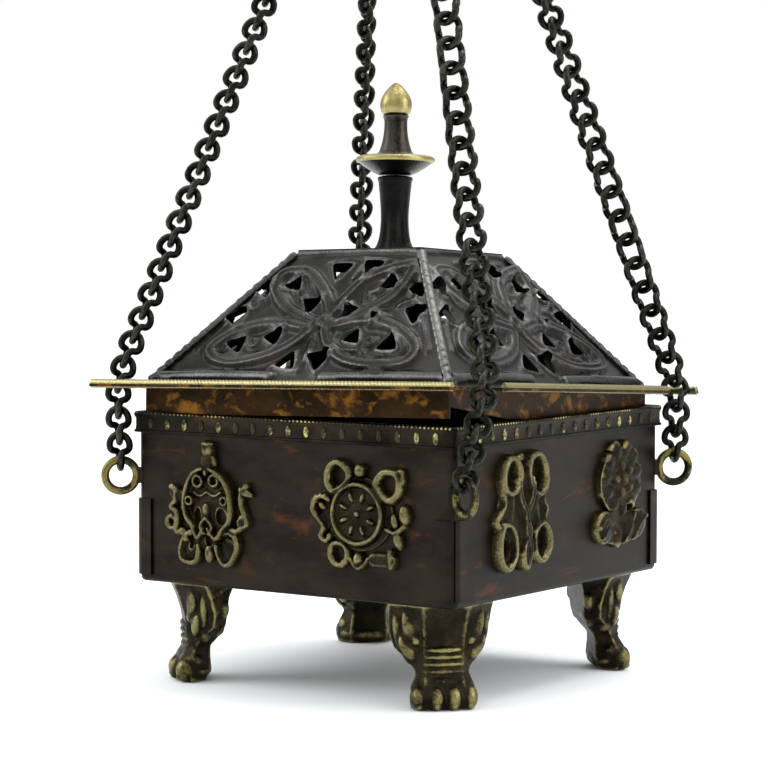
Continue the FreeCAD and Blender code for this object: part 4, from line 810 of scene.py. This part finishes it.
def hip_ring(z):
    notch = abs(math.sin(math.pi * z / HIP_STEP + 0.4 * math.sin(z * 0.9)))
    swell = 0.8 + 0.2 * min(1, notch * 2.2)
    return 1.6 * swell, 1.25 * swell + 0.12 * math.sin(z * 1.7), None


for index, corner in enumerate(("front_right", "back_right", "back_left", "front_left")):
    moulding = bar((hip_top - hip_base).length - 2.2, 14, 0.4, hip_ring)
    stand = Matrix((hip_side, hip_out, hip_way)).transposed().to_4x4()
    hip_place = Matrix.Translation(hip_base + hip_way * 1.4 + hip_out * 0.25) @ stand
    # The front-right moulding takes the paler grey as a painted highlight; the other three are plain roof
    # casting.
    finish_piece(f"hip_moulding_{corner}", moulding, hip_highlight_metal if corner == "front_right" else roof_casting,
                 "lid",
                 LID @ turn(90 * index) @ hip_place, [f"hip_strip_{corner}"], wear_depth=0.12,
                 passes=4)

# %% [markdown]
# ## Lion-paw feet
# A cast foot is a rounded, organic shape. The quickest way to one is to overlap simple solids, the
# way a modeller presses lumps of wax together, and then let a voxel remesh melt them into a single
# skin. The foot is drawn facing +X and turned to its corner.

# %% Lion-paw feet
FOOT_REACH = 75.2
FOOT_VOXEL = 0.42
FOOT_SECTIONS = (
    (0.3, 3.0, 11.0, 13.0, 20.0, 12.0), (4.0, 1.6, 12.9, 14.0, 21.0, 13.0), (8.0, 3.0, 12.6, 12.0, 18.6, 12.0),
    (11.2, 5.0, 12.7, 11.0, 16.4, 11.0), (14.5, 5.0, 15.6, 11.5, 21.0, 13.0),
    (18.0, 4.9, 17.2, 12.0, 28.0, 18.0),
    (22.0, 4.2, 17.6, 12.5, 30.5, 21.0), (27.0, 2.6, 18.0, 13.0, 31.5, 23.0),
    (31.6, 0.6, 19.6, 14.0, 32.5, 25.0))


def lump(bm, x, y, z, half_x, half_y, half_z, slant=0.0):
    """One rounded lump, its middle x inwards from the foot's reach."""
    place = move(FOOT_REACH - x, y, z) @ turn(slant, "X") @ Matrix.Diagonal((half_x, half_y, half_z, 1))
    bmesh.ops.create_uvsphere(bm, u_segments=20, v_segments=12, radius=1, matrix=place)


def foot_model():
    bm = bmesh.new()
    loops = []
    for level, outer, inner, front, widest, back in FOOT_SECTIONS:
        made = bmesh.ops.create_circle(bm, segments=6, radius=1, cap_ends=False)["verts"]
        shoulder = outer + (widest - front) / 2
        spots = [(outer, -front), (shoulder, -widest), (inner, -back), (inner, back), (shoulder, widest),
                 (outer, front)]
        for vert, (x, y) in zip(made, spots):
            vert.co = Vector((FOOT_REACH - x, y / 2, level))
        loops.append(made)
    for low, high in zip(loops, loops[1:]):
        edges = {edge for vert in low + high for edge in vert.link_edges
                 if all(end in low for end in edge.verts) or all(end in high for end in edge.verts)}
        bmesh.ops.bridge_loops(bm, edges=list(edges))
    for row in (loops[0], loops[-1]):
        bmesh.ops.contextual_create(bm, geom=row)
    # toes, their knuckles and the pad behind them
    for y, forward in ((-7.7, 1.5), (-2.65, 0.2), (2.65, 0.2), (7.7, 1.5)):
        lump(bm, 3.4 + forward, y, 3.7, 3.6, 2.7, 3.8)
        lump(bm, 5.4 + forward, y * 0.93, 6.3, 3.3, 2.6, 2.9)
        lump(bm, 1.2 + forward, y, 1.6, 1.3, 0.9, 1.1)
    lump(bm, 7.2, 0, 7.6, 4.6, 9.0, 3.2)
    lump(bm, 8.4, 0, 3.4, 5.2, 9.4, 3.3)
    # rings of the ankle
    for index, level in enumerate((11.4, 13.6, 15.8, 17.9)):
        lump(bm, 5.6 - 0.15 * index, 0, level, 1.8, 6.6 - 0.3 * index, 1.05)
    # the leaf ridges that curl back along both walls, and the knobs behind them
    for side in (-1, 1):
        for x, y, z, half_x, half_y, half_z, slant in (
                (6.6, 9.8, 25.2, 1.9, 2.6, 6.0, 10), (7.8, 10.4, 18.4, 1.8, 2.2, 4.4, 32),
                (9.8, 12.6, 23.6, 1.5, 2.0, 6.4, 8),
                (12.6, 13.0, 26.4, 2.2, 1.8, 4.6, 4), (12.4, 11.4, 19.2, 2.4, 2.0, 3.8, 22),
                (10.4, 9.6, 15.4, 1.8, 1.7, 3.0, 30),
                (15.6, 11.6, 23.6, 2.4, 2.2, 3.4, 0), (14.6, 8.8, 17.4, 2.2, 2.4, 2.8, 0),
                (6.0, 8.4, 21.0, 1.3, 1.5, 1.9, 20)):
            lump(bm, x, side * y, z, half_x, half_y, half_z, -side * slant)
    remesh = ("REMESH", {"mode": "VOXEL", "voxel_size": FOOT_VOXEL, "adaptivity": 0.0})
    melted = ("SMOOTH", {"factor": 0.5, "iterations": 3})
    foot = apply_modifiers(bm, remesh, melted)
    everything = foot.verts[:] + foot.edges[:] + foot.faces[:]
    for level, way in ((FLOOR_UNDER, 1), (0.0, -1)):
        cut = bmesh.ops.bisect_plane(foot, geom=everything, dist=1e-5, plane_co=(0, 0, level),
                                     plane_no=(0, 0, way),
                                     clear_outer=True)
        open_edges = [item for item in cut["geom_cut"] if isinstance(item, bmesh.types.BMEdge)]
        if open_edges:
            bmesh.ops.holes_fill(foot, edges=open_edges)
        everything = foot.verts[:] + foot.edges[:] + foot.faces[:]
    return foot


foot_mould = foot_model()
for corner, (x, y) in CORNERS.items():
    foot_place = turn(math.degrees(math.atan2(y, x)))
    finish_piece(f"paw_{corner}", foot_mould.copy(), cast_feet, "censer", foot_place,
                 [f"foot_{corner}"], wear_depth=0.35, passes=14)
foot_mould.free()

# %% [markdown]
# ## Finial
# The finial is four turned pieces on one axis. A turned profile is spun round the axis, which is
# what the lathe did, and then its stem is given the shallow upright flutes of a leaf.

# %% The finial
CAP_TOP = FLANGE_THICK + ROOF_HEIGHT + 1.0


def turned(points, segments=48, lobes=0, lobe_depth=0.0, lobe_top=1e9):
    """Spins a profile of (radius, height) points round the Z axis."""
    bm = bmesh.new()
    chain = [bm.verts.new((radius, 0, height)) for radius, height in points]
    for start, end in zip(chain, chain[1:]):
        bm.edges.new((start, end))
    bmesh.ops.subdivide_edges(bm, edges=bm.edges[:], cuts=2)
    bmesh.ops.spin(bm, geom=bm.verts[:] + bm.edges[:], cent=(0, 0, 0), axis=(0, 0, 1), angle=2 * math.pi,
                   steps=segments, use_merge=True)
    bmesh.ops.remove_doubles(bm, verts=bm.verts, dist=1e-4)
    if lobes:
        for vert in bm.verts:
            angle = math.atan2(vert.co.y, vert.co.x)
            fade = min(1, max(0, (lobe_top - vert.co.z) / 6))
            swell = 1 + fade * lobe_depth * abs(math.cos(lobes * angle / 2)) - fade * lobe_depth / 2
            vert.co.x *= swell
            vert.co.y *= swell
    return bm


def spline_profile(points):
    return [tuple(point) for point in smooth_path(points, steps=4)]


FINIAL = LID @ move(-1.8, -1.2, CAP_TOP)
STEM_HEIGHT = 24.6
DISC_HEIGHT = 6.0
NECK_HEIGHT = 13.4
stem = turned(spline_profile([(0, -3), (2.5, -3), (2.5, 0), (6.2, 0), (6.3, 0.9), (5.6, 2.2), (5.0, 4),
                              (4.6, 6.5),
                              (4.4, 10), (4.6, 14), (4.9, 18), (5.3, 22), (5.3, 24), (0, STEM_HEIGHT)]),
              lobes=6, lobe_depth=0.16, lobe_top=15)
finish_piece("leafed_stem", stem, finial_dark, "lid", FINIAL, ["finial_stem"], wear_depth=1.2)
dish = turned([(0, 0), (5.2, 0), (7.4, 1.0), (10.2, 2.8), (11.9, 4.0), (12.2, 4.6), (11.6, 5.2), (0, 5.4)],
              segments=64)
finish_piece("drip_dish", dish, finial_dark, "lid", FINIAL @ move(0, 0, STEM_HEIGHT),
             ["finial_disc"],
             wear_depth=0.15)
rim = turned([(9.0, 4.6), (11.8, 4.0), (12.5, 4.1), (12.7, 4.8), (12.5, 5.5), (11.6, 6.0), (9.4, 6.3),
              (9.0, 4.6)],
             segments=64)
finish_piece("rubbed_dish_rim", rim, finial_brass, "lid", FINIAL @ move(0, 0, STEM_HEIGHT),
             wear_depth=0.15)
neck = turned(spline_profile([(0, 0), (6.0, 0), (5.3, 1.6), (4.4, 4.4), (3.8, 8), (3.7, 11.4), (4.0, 13.2),
                              (0, NECK_HEIGHT)]), lobes=4, lobe_depth=0.05)
finish_piece("finial_neck", neck, finial_dark, "lid",
             FINIAL @ move(0, 0, STEM_HEIGHT + DISC_HEIGHT),
             ["finial_bud"], wear_depth=0.25)
bud = turned(spline_profile([(0, 0), (3.9, 0), (4.8, 1.2), (5.1, 3.0), (4.8, 5.0), (3.6, 7.2), (1.8, 9.2),
                             (0.6, 10.1),
                             (0, 10.2)]), lobes=4, lobe_depth=0.05)
finish_piece("brass_bud", bud, finial_brass, "lid",
             FINIAL @ move(0, 0, STEM_HEIGHT + DISC_HEIGHT + NECK_HEIGHT), wear_depth=0.25)

# %% [markdown]
# ## Corner rings and chains
# Wire rings hang the box at its corners, rubbed bright outside where the chain and fingers turn
# them. The chain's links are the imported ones, welded into closed skins and thinned, so that wear
# can be read from them too.

# %% Corner rings
RING_RADIUS = 4.95
RING_WIRE = 1.3
RING_LEVEL = 65.2
RING_TURNS = {"front_left": 0, "front_right": 22, "back_right": 0, "back_left": 0}
corner_reach = HALF_BOX * math.sqrt(2) - 2.5 * (math.sqrt(2) - 1)
for corner, (x, y) in CORNERS.items():
    wire = bmesh.new()
    made = bmesh.ops.create_circle(wire, segments=16, radius=RING_WIRE, cap_ends=False,
                                   matrix=move(RING_RADIUS, 0, 0) @ turn(90, "X"))
    bmesh.ops.spin(wire, geom=wire.verts[:] + wire.edges[:], cent=(0, 0, 0), axis=(0, 0, 1), angle=2 * math.pi,
                   steps=56, use_merge=True)
    bmesh.ops.remove_doubles(wire, verts=wire.verts, dist=1e-4)
    facing = math.degrees(math.atan2(y, x))
    out = turn(facing) @ move(corner_reach, 0, RING_LEVEL)
    ring_place = out @ turn(RING_TURNS[corner]) @ move(RING_RADIUS + RING_WIRE + 0.1, 0, 0) @ turn(90, "X")
    finish_piece(f"wire_ring_{corner}", wire, ring_brass, "censer", ring_place,
                 [f"corner_ring_{corner}"], wear_depth=1.5, passes=20)

# %% Chains
LINK_SHARE = 0.2
for corner in CORNERS:
    node_object = frame["nodes"][f"chain_{corner}"]
    links = bmesh.new()
    links.from_mesh(node_object.data)
    bmesh.ops.remove_doubles(links, verts=links.verts, dist=1e-6)
    bmesh.ops.scale(links, vec=(1 / MM,) * 3, verts=links.verts)
    links = apply_modifiers(links, ("DECIMATE", {"ratio": LINK_SHARE}))
    finish_piece(f"curb_chain_{corner}", links, black_iron, "censer",
                 stands_for=[f"chain_{corner}"],
                 wear_depth=0.9, passes=6)

# %% [markdown]
# ## The stage
# A pale floor, a bright even sky and three soft panels. Dark metal shows what it reflects, so the
# sky is graded from dim at the horizon to bright overhead: a plain white one would wash the patina
# out. Only the camera sees it plain white.

# %% Floor and light
FLOOR_HALF = 12.0
LOOK_AT = Vector((0, 0, 0.08))
floor_material = bpy.data.materials.new("pale paper sweep")
floor_material.use_nodes = True
floor_shader = floor_material.node_tree.nodes["Principled BSDF"]
floor_shader.inputs["Base Color"].default_value = tone("f2f6f8")
floor_shader.inputs["Roughness"].default_value = 0.9
sweep = bmesh.new()
bmesh.ops.create_grid(sweep, x_segments=2, y_segments=2, size=FLOOR_HALF)
floor_mesh = bpy.data.meshes.new("floor")
sweep.to_mesh(floor_mesh)
sweep.free()
floor_mesh.materials.append(floor_material)
floor = bpy.data.objects.new("floor", floor_mesh)
bpy.context.scene.collection.objects.link(floor)

world = bpy.data.worlds.new("white studio")
bpy.context.scene.world = world
world.use_nodes = True
sky = world.node_tree
height = add(sky, "ShaderNodeSeparateXYZ", {0: add(sky, "ShaderNodeTexCoord").outputs["Generated"]}).outputs[2]
glow = add(sky, "ShaderNodeMapRange", {"Value": height, "From Min": 0.0, "From Max": 0.8, "To Min": 0.45,
                                       "To Max": 1.5}).outputs[0]
seen = add(sky, "ShaderNodeLightPath").outputs["Is Camera Ray"]
strength = add(sky, "ShaderNodeMix", {0: seen, 2: glow, 3: 1.0}).outputs[0]
sky.links.new(strength, sky.nodes["Background"].inputs["Strength"])
sky.nodes["Background"].inputs["Color"].default_value = (1, 1, 1, 1)


def soft_panel(name, spot, power, width, height):
    """A rectangular light that looks at the middle of the box."""
    light = bpy.data.lights.new(name, "AREA")
    light.shape = "RECTANGLE"
    light.size, light.size_y = width, height
    light.energy = power
    thing = bpy.data.objects.new(name, light)
    thing.location = spot
    thing.rotation_euler = (Vector(spot) - LOOK_AT).to_track_quat("Z", "Y").to_euler()
    bpy.context.scene.collection.objects.link(thing)
    print(f"{name}: {power} W")


soft_panel("left panel", (-1.0, -0.7, 0.7), 8, 0.9, 0.9)
soft_panel("right panel", (1.1, 0.2, 0.5), 5, 0.6, 0.9)
soft_panel("top panel", (0.1, 0.3, 1.3), 10, 0.9, 0.9)

# %% [markdown]
# ## The camera
# A long lens near the height of the lid, turned to the front right corner. Its direction is built
# from a heading, a pitch and a small roll, which is easier to adjust than three Euler angles.

# %% Camera
CAMERA_AZIMUTH = math.radians(34.7)
CAMERA_DISTANCE = 0.918
CAMERA_HEIGHT = 0.1488
CAMERA_PITCH = math.radians(3.47)
CAMERA_AIM = math.radians(0.36)
CAMERA_ROLL = math.radians(-0.03)
CAMERA_LENS = 134.5
heading = CAMERA_AZIMUTH + CAMERA_AIM
forward = Vector((-math.sin(heading) * math.cos(CAMERA_PITCH), math.cos(heading) * math.cos(CAMERA_PITCH),
                  -math.sin(CAMERA_PITCH)))
rightward = forward.cross(Vector((0, 0, 1))).normalized()
roll = Matrix.Rotation(CAMERA_ROLL, 3, forward)
upward = roll @ rightward.cross(forward)
rightward = roll @ rightward
lens = bpy.data.cameras.new("camera")
lens.lens = CAMERA_LENS
lens.sensor_width = 36
lens.clip_end = 50
camera = bpy.data.objects.new("camera", lens)
camera.matrix_world = Matrix((rightward, upward, -forward)).transposed().to_4x4()
camera.location = (math.sin(CAMERA_AZIMUTH) * CAMERA_DISTANCE, -math.cos(CAMERA_AZIMUTH) * CAMERA_DISTANCE,
                   CAMERA_HEIGHT)
bpy.context.scene.collection.objects.link(camera)
bpy.context.scene.camera = camera
bpy.context.scene.view_settings.view_transform = "Standard"
print(f"camera: {CAMERA_LENS} mm lens, {CAMERA_DISTANCE} m away")

# %% [markdown]
# ## Done
# The view layer is brought up to date, so every piece stands where it was placed. The finished
# pieces have to stay inside the imported model's box.

# %% Done
bpy.context.view_layer.update()
